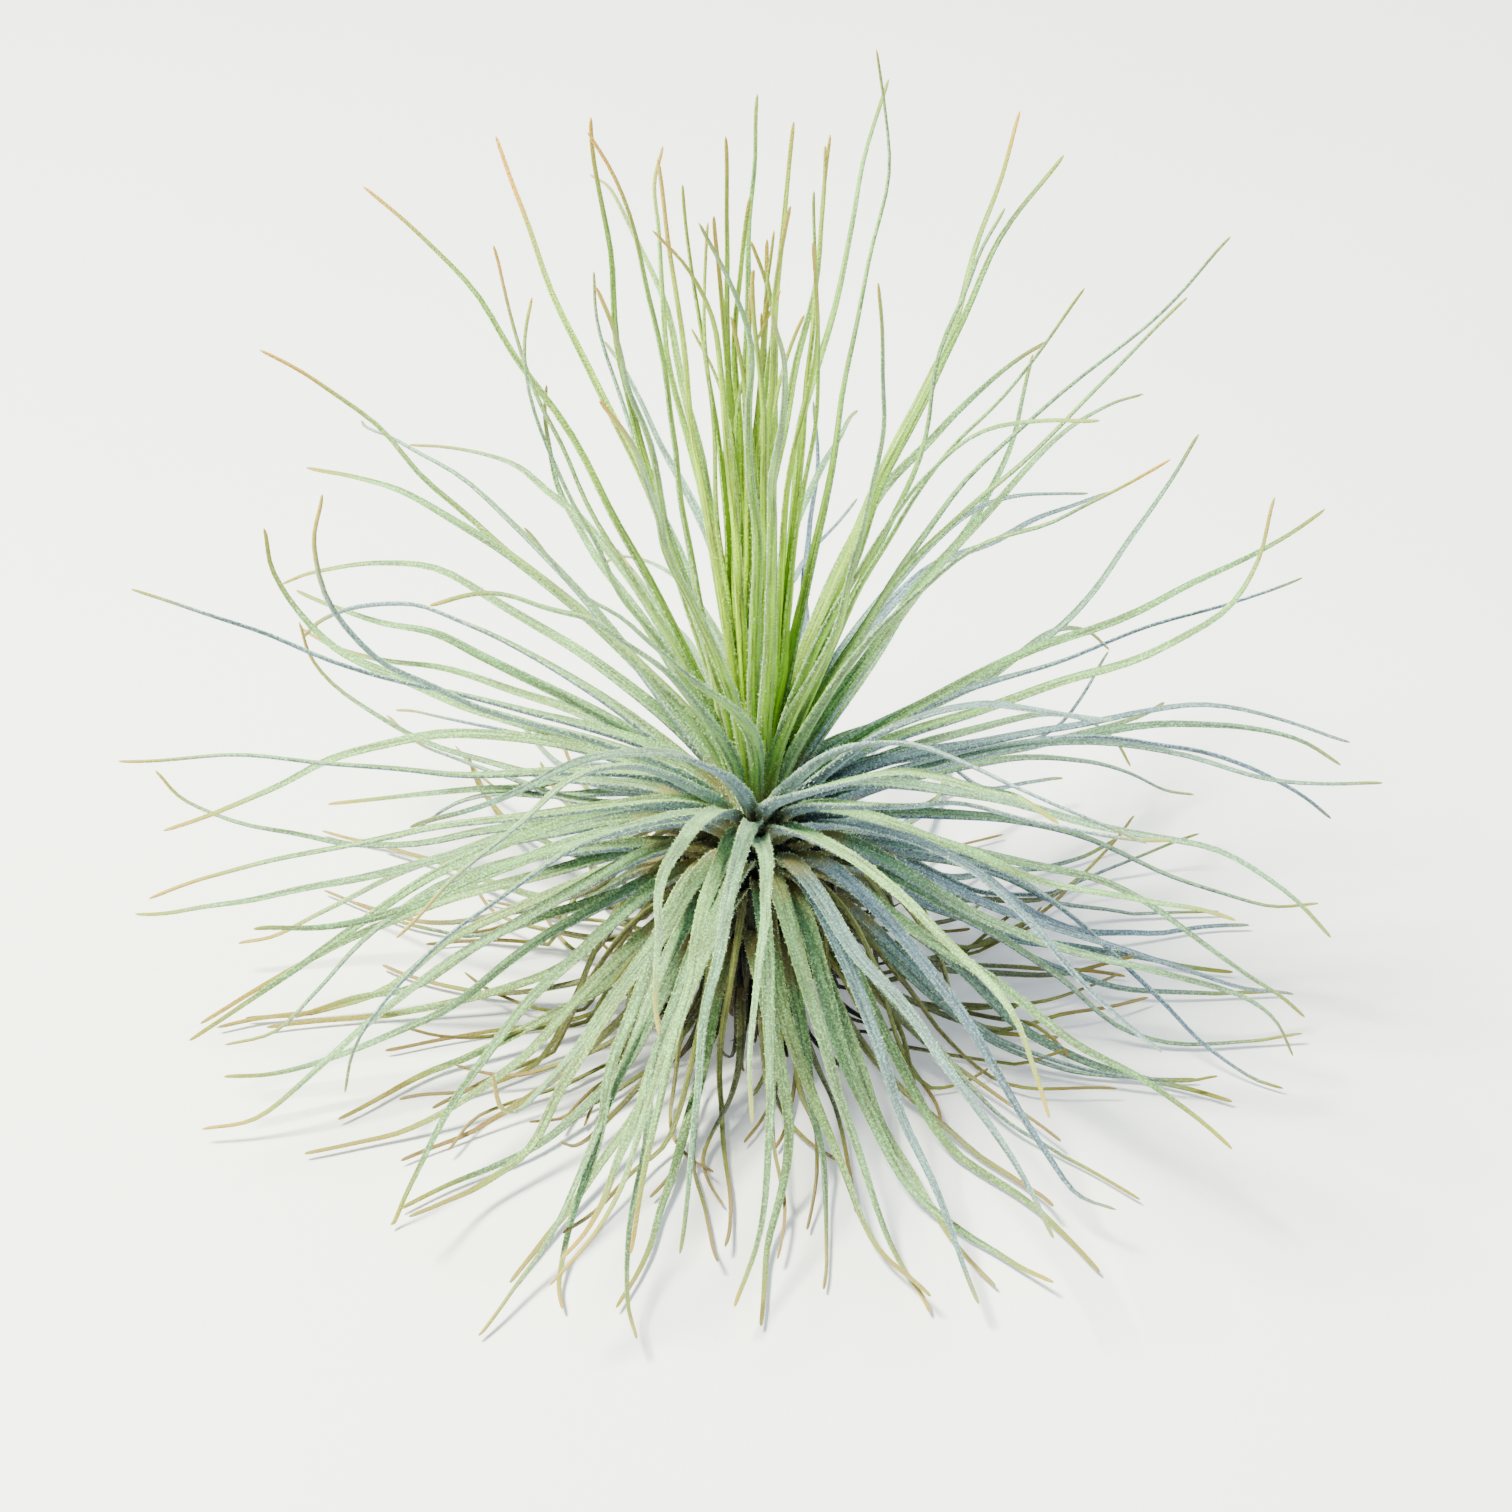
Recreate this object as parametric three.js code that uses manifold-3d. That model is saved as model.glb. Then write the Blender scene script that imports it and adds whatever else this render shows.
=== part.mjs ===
// A grey-leaved air plant: a rosette of thread-tipped leaves on a short woody stem. It stands on the
// stem's cut base, and its oldest leaves trail on the surface. Millimetres, +Z up. The origin is the
// centre of the cut base, and the plant's best-known view is from -Y.
import * as THREE from "three";
import { mergeVertices } from "three/addons/utils/BufferGeometryUtils.js";
import Module from "manifold-3d";

const wasm = await Module();
wasm.setup();

// Driving dimensions of the plant.
const LEAF_LENGTH = 140; // a full-grown leaf, from its root on the stem to its tip
const LEAF_WIDTH = 4.2; // across the blade, just above the sheath
const LEAF_THICKNESS = 1.3; // through the keel, just above the sheath
const TIP_WIDTH = 0.75; // the thread at the end of a leaf
const TIP_THICKNESS = 0.62;
const ROOT_NARROWING = 0.72; // a leaf's root between its neighbours, against its blade
const ROOT_SHARE = 0.1; // the share of a leaf in which it widens to its blade
const STEM_HEIGHT = 59;
const STEM_BASE_RADIUS = 6.4;
const STEM_WAIST_RADIUS = 7.8;
const STEM_WAIST_HEIGHT = 13;
const STEM_TOP_RADIUS = 3.4;
const HEART_CORE_HEIGHT = 15; // the tight core of young leaves that the heart stands out of
const HEART_CORE_TIP_RADIUS = 1.8;
const HEART_ROOT_RADIUS = 2.9;
const FIT_GAP = 0.3; // between the stem, the whorls' sheath rings and the heart
const SHEATH_RING_THICKNESS = 1.6;
const SHEATH_RING_MARGIN = 0.8; // what a ring covers above its first root and below its last
const ROUND_SIDES = 12;
const FINEST = 0.01; // flat faces and slivers are merged down to this

// How the leaves are set on the stem. Each leaf is a golden angle round from the one before it, and
// neighbours lean together into tufts.
const GOLDEN_ANGLE = 137.50776;
const FIRST_AZIMUTH = 205;
const TUFTS_AROUND = 7;
const TUFT_LEAN = 7;
const TUFT_SHIFT = 90; // how far round each whorl's tufts lie from the last one's, in their own phase
const RANDOM = { seed: 7, factor: 48271, modulus: 2147483647 };

// How far one leaf strays from the rule: shares of its length, or degrees.
const STRAY = { length: 0.08, azimuth: 4, tilt: 8, droop: 30, sweep: 32, wave: 16, curl: 55 };
const TAPER = { mean: 0.78, spread: 0.2 }; // low where a leaf narrows soon, high where it stays wide
const HOOKED_SHARE = 0.12; // the share of the leaves whose tips hook upwards
const HOOK = -80;
const BEND_SHARE = 0.2; // the share of a leaf in which it turns from its root to its blade
const CURL_START = 0.4; // the share of a leaf past which its tip curls
const SWEEP_POWER = 1.4; // how late along a leaf its sweep to one side comes
const SIDEWAYS_WAVE = 0.5; // a wave's swing from side to side against its rise and fall
const LANDING = { steepest: 150, shallowest: 95, height: 28 }; // how a falling leaf levels out

// Whorls from the youngest, in the heart, to the oldest, which is withered. Tilts are from the
// vertical, in degrees, and each pair runs from a whorl's first and highest leaf to its lowest.
// stationStep is 2 where leaves are straight enough for half the sections.
const WHORLS = [
  {
    name: "heart_leaves", count: 24, heights: [59.6, 59.6], rootTilt: [0, 5], bladeTilt: [1, 6],
    droop: [0, 2], length: [0.7, 1.0], width: [0.55, 0.8], loose: 0.3, stationStep: 2,
    colour: "#9cc44a",
  },
  {
    name: "upper_leaves", count: 28, heights: [57.6, 52.6], rootTilt: [9, 18], bladeTilt: [10, 31],
    droop: [5, 26], length: [1.0, 1.0], width: [0.75, 0.92], loose: 0.7, stationStep: 1,
    colour: "#a3bd86",
  },
  {
    name: "middle_leaves", count: 50, heights: [49.8, 42.6], rootTilt: [35, 42], bladeTilt: [42, 74],
    droop: [44, 42], length: [0.94, 0.86], width: [0.97, 1.0], loose: 1.0, stationStep: 1,
    colour: "#9db595",
  },
  {
    name: "outer_leaves", count: 46, heights: [40.0, 33.2], rootTilt: [46, 54], bladeTilt: [82, 104],
    droop: [42, 36], length: [0.86, 0.8], width: [1.0, 1.0], loose: 1.15, stationStep: 1,
    colour: "#93ab90",
  },
  {
    name: "lower_leaves", count: 34, heights: [30.8, 24.4], rootTilt: [58, 66], bladeTilt: [108, 126],
    droop: [34, 20], length: [0.8, 0.68], width: [1.0, 0.9], loose: 1.1, stationStep: 1,
    colour: "#8a9d80",
  },
  {
    name: "dry_leaves", count: 22, heights: [22.2, 15.0], rootTilt: [72, 84], bladeTilt: [126, 142],
    droop: [0, 0], length: [0.66, 0.4], width: [0.62, 0.5], loose: 1.3, stationStep: 1,
    colour: "#a58f63",
  },
];

// Where along a leaf its sections lie, as shares of its length, closest where it bends.
const STATIONS = [0, 0.045, 0.105, 0.18, 0.28, 0.4, 0.53, 0.67, 0.8, 0.91, 1];
// A leaf's section, flat above and keeled below: across and up, as shares of its width and thickness.
const SECTION = [[0.5, 0.38], [0, -0.62], [-0.5, 0.38]];
const HALF_DEPTH = 0.6; // how far a section reaches up or down from its middle, at most

// Leaves are eased apart until none passes through another, from the first section that is free of
// the roots, and more the further out they are. They keep their lengths and stay above the surface.
const EASING = {
  rounds: 90, share: 0.5, furthest: 1.5, look: 1.3 * LEAF_WIDTH, stiffUntil: 0.01, freeFrom: 0.16,
  sameWhorl: { clearance: 0.15, first: 3 }, otherWhorl: { clearance: 0.5, first: 1 },
};
const FLOOR_CLEARANCE = 0.25;

// A repeatable random number from 0 to 1.
let drawn = RANDOM.seed;
function random() {
  drawn = (drawn * RANDOM.factor) % RANDOM.modulus;
  return drawn / RANDOM.modulus;
}

// A repeatable random number from -1 to 1 that is mostly near 0.
function wander() {
  return random() + random() - 1;
}

function between([first, last], share) {
  return first + (last - first) * share;
}

function smooth(share) {
  const t = Math.min(1, Math.max(0, share));
  return t * t * (3 - 2 * t);
}

function sine(degrees) {
  return Math.sin(THREE.MathUtils.degToRad(degrees));
}

function cosine(degrees) {
  return Math.cos(THREE.MathUtils.degToRad(degrees));
}

function direction(tilt, azimuth) {
  return new THREE.Vector3(sine(tilt) * cosine(azimuth), sine(tilt) * sine(azimuth), cosine(tilt));
}

function stemRadius(height) {
  if (height < STEM_WAIST_HEIGHT) {
    return THREE.MathUtils.lerp(STEM_BASE_RADIUS, STEM_WAIST_RADIUS, height / STEM_WAIST_HEIGHT);
  }
  const share = (height - STEM_WAIST_HEIGHT) / (STEM_HEIGHT - STEM_WAIST_HEIGHT);
  return THREE.MathUtils.lerp(STEM_WAIST_RADIUS, STEM_TOP_RADIUS, share);
}

function leafWidth(leaf, share) {
  const blade = THREE.MathUtils.lerp(leaf.width, TIP_WIDTH, Math.pow(share, leaf.taper));
  return blade * THREE.MathUtils.lerp(ROOT_NARROWING, 1, smooth(share / ROOT_SHARE));
}

function leafThickness(share) {
  return THREE.MathUtils.lerp(LEAF_THICKNESS, TIP_THICKNESS, share);
}

// One leaf's facts and its middle line, before it is eased clear of its neighbours.
function growLeaf(whorl, order, azimuth) {
  const share = (order + 0.5) / whorl.count;
  const height = between(whorl.heights, share);
  const leaf = {
    whorl,
    width: LEAF_WIDTH * between(whorl.width, share),
    length: LEAF_LENGTH * between(whorl.length, share) * (1 + STRAY.length * wander()),
    azimuth: azimuth + STRAY.azimuth * wander(),
    bladeTilt: between(whorl.bladeTilt, share) + STRAY.tilt * whorl.loose * wander(),
    droop: between(whorl.droop, share) + STRAY.droop * whorl.loose * wander(),
    sweep: STRAY.sweep * whorl.loose * wander(),
    wave: STRAY.wave * whorl.loose * wander(),
    curl: STRAY.curl * whorl.loose * wander(),
    taper: TAPER.mean + TAPER.spread * wander(),
    hooked: random() < HOOKED_SHARE * whorl.loose ? HOOK : 0,
  };
  const tuftPhase = TUFTS_AROUND * leaf.azimuth + TUFT_SHIFT * WHORLS.indexOf(whorl);
  const tuft = TUFT_LEAN * whorl.loose * sine(tuftPhase);
  const rootTilt = between(whorl.rootTilt, share);
  const rootRadius = whorl === WHORLS[0]
    ? HEART_ROOT_RADIUS * Math.sqrt(share)
    : stemRadius(height) + FIT_GAP + SHEATH_RING_THICKNESS * 0.5;
  leaf.points = [direction(90, leaf.azimuth).multiplyScalar(rootRadius).setZ(height)];
  for (let i = 1; i < STATIONS.length; i++) {
    const at = (STATIONS[i - 1] + STATIONS[i]) / 2;
    const tip = Math.max(0, at - CURL_START) / (1 - CURL_START);
    const out = smooth(at / BEND_SHARE);
    const ripple = leaf.wave * Math.sin(2 * Math.PI * at) * out;
    const freeTilt = THREE.MathUtils.lerp(rootTilt, leaf.bladeTilt, out)
      + leaf.droop * at + (leaf.curl + leaf.hooked) * tip * tip + ripple;
    const landing = smooth(leaf.points[i - 1].z / LANDING.height);
    const steepest = THREE.MathUtils.lerp(LANDING.shallowest, LANDING.steepest, landing);
    const tilt = Math.min(freeTilt, steepest);
    const heading = leaf.azimuth + tuft * out + leaf.sweep * Math.pow(at, SWEEP_POWER)
      - ripple * SIDEWAYS_WAVE;
    const step = leaf.length * (STATIONS[i] - STATIONS[i - 1]);
    leaf.points.push(direction(tilt, heading).multiplyScalar(step).add(leaf.points[i - 1]));
  }
  leaf.steps = leaf.points.slice(1).map((p, i) => p.distanceTo(leaf.points[i]));
  return leaf;
}

// The directions along, across and up from a leaf's face at each station, carried without twist.
function frameLeaf(leaf) {
  const last = leaf.points.length - 1;
  let across = direction(90, leaf.azimuth + 90);
  leaf.frames = leaf.points.map((p, i) => {
    const before = leaf.points[Math.max(0, i - 1)];
    const after = leaf.points[Math.min(last, i + 1)];
    const along = after.clone().sub(before).normalize();
    across = across.clone().addScaledVector(along, -across.dot(along)).normalize();
    return { along, across, up: along.clone().cross(across) };
  });
}

// Keeps a leaf's own step lengths, its root and its place above the surface.
function layLeaf(leaf) {
  for (let i = 1; i < leaf.points.length; i++) {
    const floor = FLOOR_CLEARANCE + HALF_DEPTH * leafThickness(STATIONS[i])
      + 0.5 * leafWidth(leaf, STATIONS[i]) * Math.abs(leaf.frames[i].across.z);
    const step = leaf.points[i].clone().sub(leaf.points[i - 1]).setLength(leaf.steps[i - 1]);
    leaf.points[i].copy(leaf.points[i - 1]).add(step);
    if (leaf.points[i].z < floor) {
      const flat = step.clone().setZ(0).normalize();
      const drop = floor - leaf.points[i - 1].z;
      const reach = Math.sqrt(Math.max(0, leaf.steps[i - 1] ** 2 - drop ** 2));
      leaf.points[i].copy(leaf.points[i - 1]).addScaledVector(flat, reach).setZ(floor);
    }
  }
}

// How far a blade reaches from its middle line in a given direction.
function reachOf(leaf, i, toward) {
  const { across, up } = leaf.frames[i];
  const share = (STATIONS[i] + STATIONS[i + 1]) / 2;
  const wide = across.dot(toward) * leafWidth(leaf, share) / 2;
  const deep = up.dot(toward) * leafThickness(share) * HALF_DEPTH;
  return Math.hypot(wide, deep);
}

// The nearest points of two straight stretches, as shares of each, and the way from one to the other.
function nearest(a0, a1, b0, b1) {
  const u = a1.clone().sub(a0);
  const v = b1.clone().sub(b0);
  const w = a0.clone().sub(b0);
  const a = u.dot(u);
  const b = u.dot(v);
  const c = v.dot(v);
  const d = u.dot(w);
  const e = v.dot(w);
  const area = a * c - b * b;
  const clamp = THREE.MathUtils.clamp;
  let s = area > 1e-6 * a * c ? clamp((b * e - c * d) / area, 0, 1) : 0.5;
  const t = clamp((b * s + e) / c, 0, 1);
  s = clamp((b * t - d) / a, 0, 1);
  const gap = a0.clone().addScaledVector(u, s).sub(b0.clone().addScaledVector(v, t));
  return { s, t, gap, u, v };
}

// Adds to two stretches' pushes what takes them clear of each other, if they are too close.
function pushApart(one, i, other, j, rule, give) {
  const far = one.steps[i] + other.steps[j] + EASING.look;
  if (one.points[i].distanceToSquared(other.points[j]) > far * far) return;
  const { s, t, gap, u, v } = nearest(
    one.points[i], one.points[i + 1], other.points[j], other.points[j + 1],
  );
  const distance = gap.length();
  if (distance > EASING.look) return;
  const way = distance > 1e-4 ? gap.multiplyScalar(1 / distance) : u.cross(v).normalize();
  const short = reachOf(one, i, way) + reachOf(other, j, way) + rule.clearance - distance;
  if (short <= 0) return;
  const shift = way.multiplyScalar(short * EASING.share);
  one.pushes[i].addScaledVector(shift, (1 - s) * give[i]);
  one.pushes[i + 1].addScaledVector(shift, s * give[i + 1]);
  other.pushes[j].addScaledVector(shift, -(1 - t) * give[j]);
  other.pushes[j + 1].addScaledVector(shift, -t * give[j + 1]);
}

// Eases crossing leaves apart, a little each round, as the real ones push each other aside.
function easeApart(leaves) {
  const give = STATIONS.map((at) => smooth((at - EASING.stiffUntil) / (EASING.freeFrom - EASING.stiffUntil)));
  for (let round = 0; round < EASING.rounds; round++) {
    for (const leaf of leaves) {
      frameLeaf(leaf);
      leaf.box = new THREE.Box3().setFromPoints(leaf.points).expandByScalar(EASING.look / 2);
      leaf.pushes = leaf.points.map(() => new THREE.Vector3());
    }
    for (let m = 0; m < leaves.length; m++) {
      for (let n = m + 1; n < leaves.length; n++) {
        if (!leaves[m].box.intersectsBox(leaves[n].box)) continue;
        const rule = leaves[m].whorl === leaves[n].whorl ? EASING.sameWhorl : EASING.otherWhorl;
        for (let i = rule.first; i < STATIONS.length - 1; i++) {
          for (let j = rule.first; j < STATIONS.length - 1; j++) {
            pushApart(leaves[m], i, leaves[n], j, rule, give);
          }
        }
      }
    }
    for (const leaf of leaves) {
      leaf.points.forEach((p, i) => p.add(leaf.pushes[i].clampLength(0, EASING.furthest)));
      layLeaf(leaf);
    }
  }
  leaves.forEach(frameLeaf);
}

function growAll() {
  const leaves = [];
  for (const whorl of WHORLS) {
    for (let order = 0; order < whorl.count; order++) {
      leaves.push(growLeaf(whorl, order, FIRST_AZIMUTH + GOLDEN_ANGLE * leaves.length));
    }
  }
  leaves.forEach(frameLeaf);
  leaves.forEach(layLeaf);
  easeApart(leaves);
  return leaves;
}

// A blade: a three-sided bar whose sections lie at the leaf's stations.
function bladeGeometry(leaf) {
  const stations = STATIONS.map((at, i) => i).filter((i) => i % leaf.whorl.stationStep === 0);
  const sides = SECTION.length;
  const positions = [];
  for (const i of stations) {
    const { across, up } = leaf.frames[i];
    const width = leafWidth(leaf, STATIONS[i]);
    const thickness = leafThickness(STATIONS[i]);
    for (const [x, y] of SECTION) {
      const v = leaf.points[i].clone().addScaledVector(across, x * width).addScaledVector(up, y * thickness);
      positions.push(v.x, v.y, v.z);
    }
  }
  const top = (stations.length - 1) * sides;
  const faces = [0, 1, 2, top, top + 2, top + 1];
  for (let ring = 0; ring < top; ring += sides) {
    for (let j = 0; j < sides; j++) {
      const a = ring + j;
      const b = ring + ((j + 1) % sides);
      faces.push(a, a + sides, b, b, a + sides, b + sides);
    }
  }
  const geometry = new THREE.BufferGeometry();
  geometry.setAttribute("position", new THREE.Float32BufferAttribute(positions, 3));
  geometry.setIndex(faces);
  return geometry;
}

function toSolid(geometry) {
  const plain = geometry.clone();
  plain.deleteAttribute("normal");
  plain.deleteAttribute("uv");
  const merged = mergeVertices(plain, 1e-4);
  return new wasm.Manifold(new wasm.Mesh({
    numProp: 3,
    vertProperties: merged.attributes.position.array,
    triVerts: new Uint32Array(merged.index.array),
  }));
}

function toGeometry(solid) {
  const mesh = solid.getMesh();
  const geometry = new THREE.BufferGeometry();
  geometry.setAttribute("position", new THREE.BufferAttribute(new Float32Array(mesh.vertProperties), 3));
  geometry.setIndex(new THREE.BufferAttribute(new Uint32Array(mesh.triVerts), 1));
  geometry.computeVertexNormals();
  return geometry;
}

// The largest body of a solid, without the hollows that fusing sealed and without loose scraps.
function mainBody(solid) {
  return solid.decompose().reduce((a, b) => (b.volume() > a.volume() ? b : a)).simplify(FINEST);
}

function lathe(profile) {
  const outline = profile.map(([r, z]) => new THREE.Vector2(r, z));
  return new THREE.LatheGeometry(outline, ROUND_SIDES).rotateX(Math.PI / 2);
}

// The woody stem, flat at its cut base and tapering up to the heart.
function stemGeometry() {
  return lathe([
    [0, 0], [STEM_BASE_RADIUS, 0], [STEM_WAIST_RADIUS, STEM_WAIST_HEIGHT],
    [STEM_TOP_RADIUS, STEM_HEIGHT], [0, STEM_HEIGHT],
  ]);
}

// The tight core of the heart, on top of the stem.
function heartCore() {
  const bottom = STEM_HEIGHT + FIT_GAP;
  const top = bottom + HEART_CORE_HEIGHT;
  return lathe([[0, bottom], [STEM_TOP_RADIUS, bottom], [HEART_CORE_TIP_RADIUS, top], [0, top]]);
}

// The ring of overlapping sheaths that a whorl's leaves spring from, close round the stem.
function sheathRing(whorl) {
  const top = whorl.heights[0] + SHEATH_RING_MARGIN;
  const bottom = whorl.heights[1] - SHEATH_RING_MARGIN;
  const innerTop = stemRadius(top) + FIT_GAP;
  const innerBottom = stemRadius(bottom) + FIT_GAP;
  return lathe([
    [innerBottom, bottom], [innerBottom + SHEATH_RING_THICKNESS, bottom],
    [innerTop + SHEATH_RING_THICKNESS, top], [innerTop, top], [innerBottom, bottom],
  ]);
}

const leaves = growAll();
const plant = new THREE.Group();

function addPiece(name, geometry, colour) {
  const material = new THREE.MeshStandardMaterial({ color: colour, roughness: 0.8, metalness: 0 });
  const mesh = new THREE.Mesh(geometry, material);
  mesh.name = name;
  plant.add(mesh);
}

addPiece("stem", toGeometry(mainBody(toSolid(stemGeometry()))), "#8b7355");
for (const whorl of WHORLS) {
  const base = whorl === WHORLS[0] ? heartCore() : sheathRing(whorl);
  const blades = leaves.filter((leaf) => leaf.whorl === whorl).map((leaf) => toSolid(bladeGeometry(leaf)));
  const fused = wasm.Manifold.union([toSolid(base), ...blades]);
  addPiece(whorl.name, toGeometry(mainBody(fused)), whorl.colour);
}

export default plant;
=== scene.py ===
"""A grey-leaved air plant, dressed round its CAD frame: a scurfy rosette on a short woody stem."""

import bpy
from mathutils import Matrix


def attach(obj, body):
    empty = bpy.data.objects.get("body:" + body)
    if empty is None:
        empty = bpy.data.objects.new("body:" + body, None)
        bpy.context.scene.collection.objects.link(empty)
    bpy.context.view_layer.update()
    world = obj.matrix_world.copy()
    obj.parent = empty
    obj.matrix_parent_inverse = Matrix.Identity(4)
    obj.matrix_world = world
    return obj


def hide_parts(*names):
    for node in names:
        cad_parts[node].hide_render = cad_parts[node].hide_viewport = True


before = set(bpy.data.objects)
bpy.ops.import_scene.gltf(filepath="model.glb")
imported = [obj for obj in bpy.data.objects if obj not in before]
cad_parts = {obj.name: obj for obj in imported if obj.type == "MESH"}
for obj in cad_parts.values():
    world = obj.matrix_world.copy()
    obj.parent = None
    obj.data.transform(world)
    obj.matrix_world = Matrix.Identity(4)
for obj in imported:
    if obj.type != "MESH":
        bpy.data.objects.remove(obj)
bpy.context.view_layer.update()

import math

import bpy
import numpy as np

# The stem: a short woody stem, 59 mm tall, that the leaves have grown from and hide. It is rough
# wood under the torn, papery stubs of old leaf bases, which sit on it in a spiral. It stands on
# its flat cut base.
MM = 0.001
GOLDEN_ANGLE = 137.50776
STEM_RINGS = [(0.0, 6.3), (13.0, 7.7), (59.0, 3.4)]  # heights and radii, in mm
STEM_SIDES = 48
STEM_RING_COUNT = 90
BARK_DEPTH = 0.35  # how far the bark stands out and in, in mm
BARK_WAVES = [(0.5, 9, 0.21), (0.3, 17, -0.4), (0.4, 3, 1.9)]  # share, count round, turn a mm up
BARK_DARK, BARK_BROWN, BARK_AGED = "#3b2c1c", "#8a6f4b", "#b9a277"
FIBRE_DENSITY, FIBRE_STRETCH = 1500.0, 0.22
FIBRE_DULLS, FIBRE_STANDS, FIBRE_DEPTH = (0.3, 0.7, 0.95, 0.75), 0.7, 0.4
BARK_PATCH_DENSITY = 190.0
DARK_TO_BROWN, PATCH_AGES = (0.35, 0.65), (0.45, 0.7, 0.0, 0.7)
STUB_TILTS = (-0.25, -0.1, -0.3), (0.25, 0.35, 0.3)  # in radians
STUB_SIZES = (0.7, 0.7, 0.5), (1.2, 1.2, 1.3)
SIZE_SEED_STEP = 5.0


class NodePlan:
    """Writes down a node tree: each call adds a node and joins or sets its inputs."""

    def __init__(self, tree):
        self.tree = tree

    def put(self, node, inputs):
        for key, value in inputs.items():
            if isinstance(value, bpy.types.NodeSocket):
                self.tree.links.new(value, node.inputs[key])
            else:
                node.inputs[key].default_value = value
        return node

    def add(self, kind, inputs=None, **settings):
        node = self.tree.nodes.new(kind)
        for key, value in settings.items():
            setattr(node, key, value)
        return self.put(node, inputs or {})

    def math(self, operation, *values):
        given = dict(enumerate(values))
        return self.add("ShaderNodeMath", given, operation=operation).outputs[0]

    def times(self, first, second):
        return self.math("MULTIPLY", first, second)

    def times_plus(self, first, second, third):
        return self.math("MULTIPLY_ADD", first, second, third)

    def vector(self, operation, first, second=None):
        node = self.add("ShaderNodeVectorMath", {0: first}, operation=operation)
        if second is not None:
            self.put(node, {"Scale" if operation == "SCALE" else 1: second})
        return node.outputs["Value" if operation == "LENGTH" else "Vector"]

    def xyz(self, x=0.0, y=0.0, z=0.0):
        return self.add("ShaderNodeCombineXYZ", {0: x, 1: y, 2: z}).outputs[0]

    def ramp(self, value, low, high, start=0.0, end=1.0):
        """value's place between low and high, eased, as a number from start to end."""
        given = {"Value": value, "From Min": low, "From Max": high, "To Min": start, "To Max": end}
        return self.add("ShaderNodeMapRange", given, interpolation_type="SMOOTHSTEP").outputs[0]

    def noise(self, place, scale, detail, roughness=0.5):
        """Soft, random patches, as many as scale in each unit of place."""
        given = {"Vector": place, "Scale": scale, "Detail": detail, "Roughness": roughness}
        return self.add("ShaderNodeTexNoise", given).outputs[0]

    def mix(self, share, first, second):
        """One colour over another."""
        given = {0: share, 6: first, 7: second}
        return self.add("ShaderNodeMix", given, data_type="RGBA", blend_type="MIX").outputs[2]


def linear(code):
    """A web colour as linear red, green, blue and alpha."""
    parts = [int(code[i:i + 2], 16) / 255 for i in (1, 3, 5)]
    return [*(p / 12.92 if p <= 0.04045 else ((p + 0.055) / 1.055) ** 2.4 for p in parts), 1.0]


def new_finish(name):
    """An empty material: its plan and its surface shader."""
    material = bpy.data.materials.new(name)
    material.use_nodes = True
    return material, NodePlan(material.node_tree), material.node_tree.nodes["Principled BSDF"]


def new_tree(name, sizes):
    """A tree that grows geometry from named inputs: itself, its plan, its sockets and keys."""
    tree = bpy.data.node_groups.new(name, "GeometryNodeTree")
    tree.interface.new_socket("Geometry", in_out="INPUT", socket_type="NodeSocketGeometry")
    tree.interface.new_socket("Geometry", in_out="OUTPUT", socket_type="NodeSocketGeometry")
    kinds = {int: "NodeSocketInt", float: "NodeSocketFloat", str: "NodeSocketMaterial"}
    keys = {}
    for label, value in sizes.items():
        socket = tree.interface.new_socket(label, in_out="INPUT", socket_type=kinds[type(value)])
        if not isinstance(value, str):
            socket.default_value = value
        keys[label] = socket.identifier
    plan = NodePlan(tree)
    return tree, plan, plan.add("NodeGroupInput").outputs, keys


def finish_tree(plan, geometry, material):
    """Ends a tree: everything made real, then given its material."""
    real = plan.add("GeometryNodeRealizeInstances", {"Geometry": geometry})
    dressed = plan.add("GeometryNodeSetMaterial", {
        "Geometry": real.outputs[0], "Material": material})
    plan.add("NodeGroupOutput", {"Geometry": dressed.outputs[0]})


def placed(name, data):
    """A new object in the scene."""
    thing = bpy.data.objects.new(name, data)
    bpy.context.scene.collection.objects.link(thing)
    return thing


def grown(name, mesh, tree, keys, values):
    """The plain object that a tree makes of a mesh."""
    seedling = placed(name + "_seedling", mesh)
    modifier = seedling.modifiers.new("Grow", "NODES")
    modifier.node_group = tree
    for label, value in values.items():
        modifier[keys[label]] = value
    graph = bpy.context.evaluated_depsgraph_get()
    made = bpy.data.meshes.new_from_object(
        seedling.evaluated_get(graph), preserve_all_data_layers=True, depsgraph=graph)
    bpy.data.objects.remove(seedling)
    made.name = name
    return placed(name, made)


def stem_mesh():
    """The bare wood: a lathed stem with shallow ridges that wander up it."""
    top = STEM_RINGS[-1][0]
    heights = np.linspace(0, top, STEM_RING_COUNT)[:, None]
    turn = np.linspace(0, 2 * np.pi, STEM_SIDES, endpoint=False)[None, :]
    bark = sum(share * np.sin(count * turn + climb * heights) for share, count, climb in BARK_WAVES)
    radius = np.interp(heights, *zip(*STEM_RINGS)) + BARK_DEPTH * bark
    rings = np.stack([radius * np.cos(turn), radius * np.sin(turn), heights + 0 * turn], 2)
    points = np.concatenate([rings.reshape(-1, 3), [[0, 0, 0], [0, 0, top]]]) * MM
    faces, last = [], len(points) - 1
    for ring in range(STEM_RING_COUNT - 1):
        for side in range(STEM_SIDES):
            a = ring * STEM_SIDES + side
            b = ring * STEM_SIDES + (side + 1) % STEM_SIDES
            faces.append((a, b, b + STEM_SIDES, a + STEM_SIDES))
    for side in range(STEM_SIDES):
        after = (side + 1) % STEM_SIDES
        upper = (STEM_RING_COUNT - 1) * STEM_SIDES
        faces += [(after, side, last - 1), (upper + side, upper + after, last)]
    mesh = bpy.data.meshes.new("stem_wood")
    mesh.from_pydata(points.tolist(), [], faces)
    mesh.shade_smooth()
    return mesh


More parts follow.
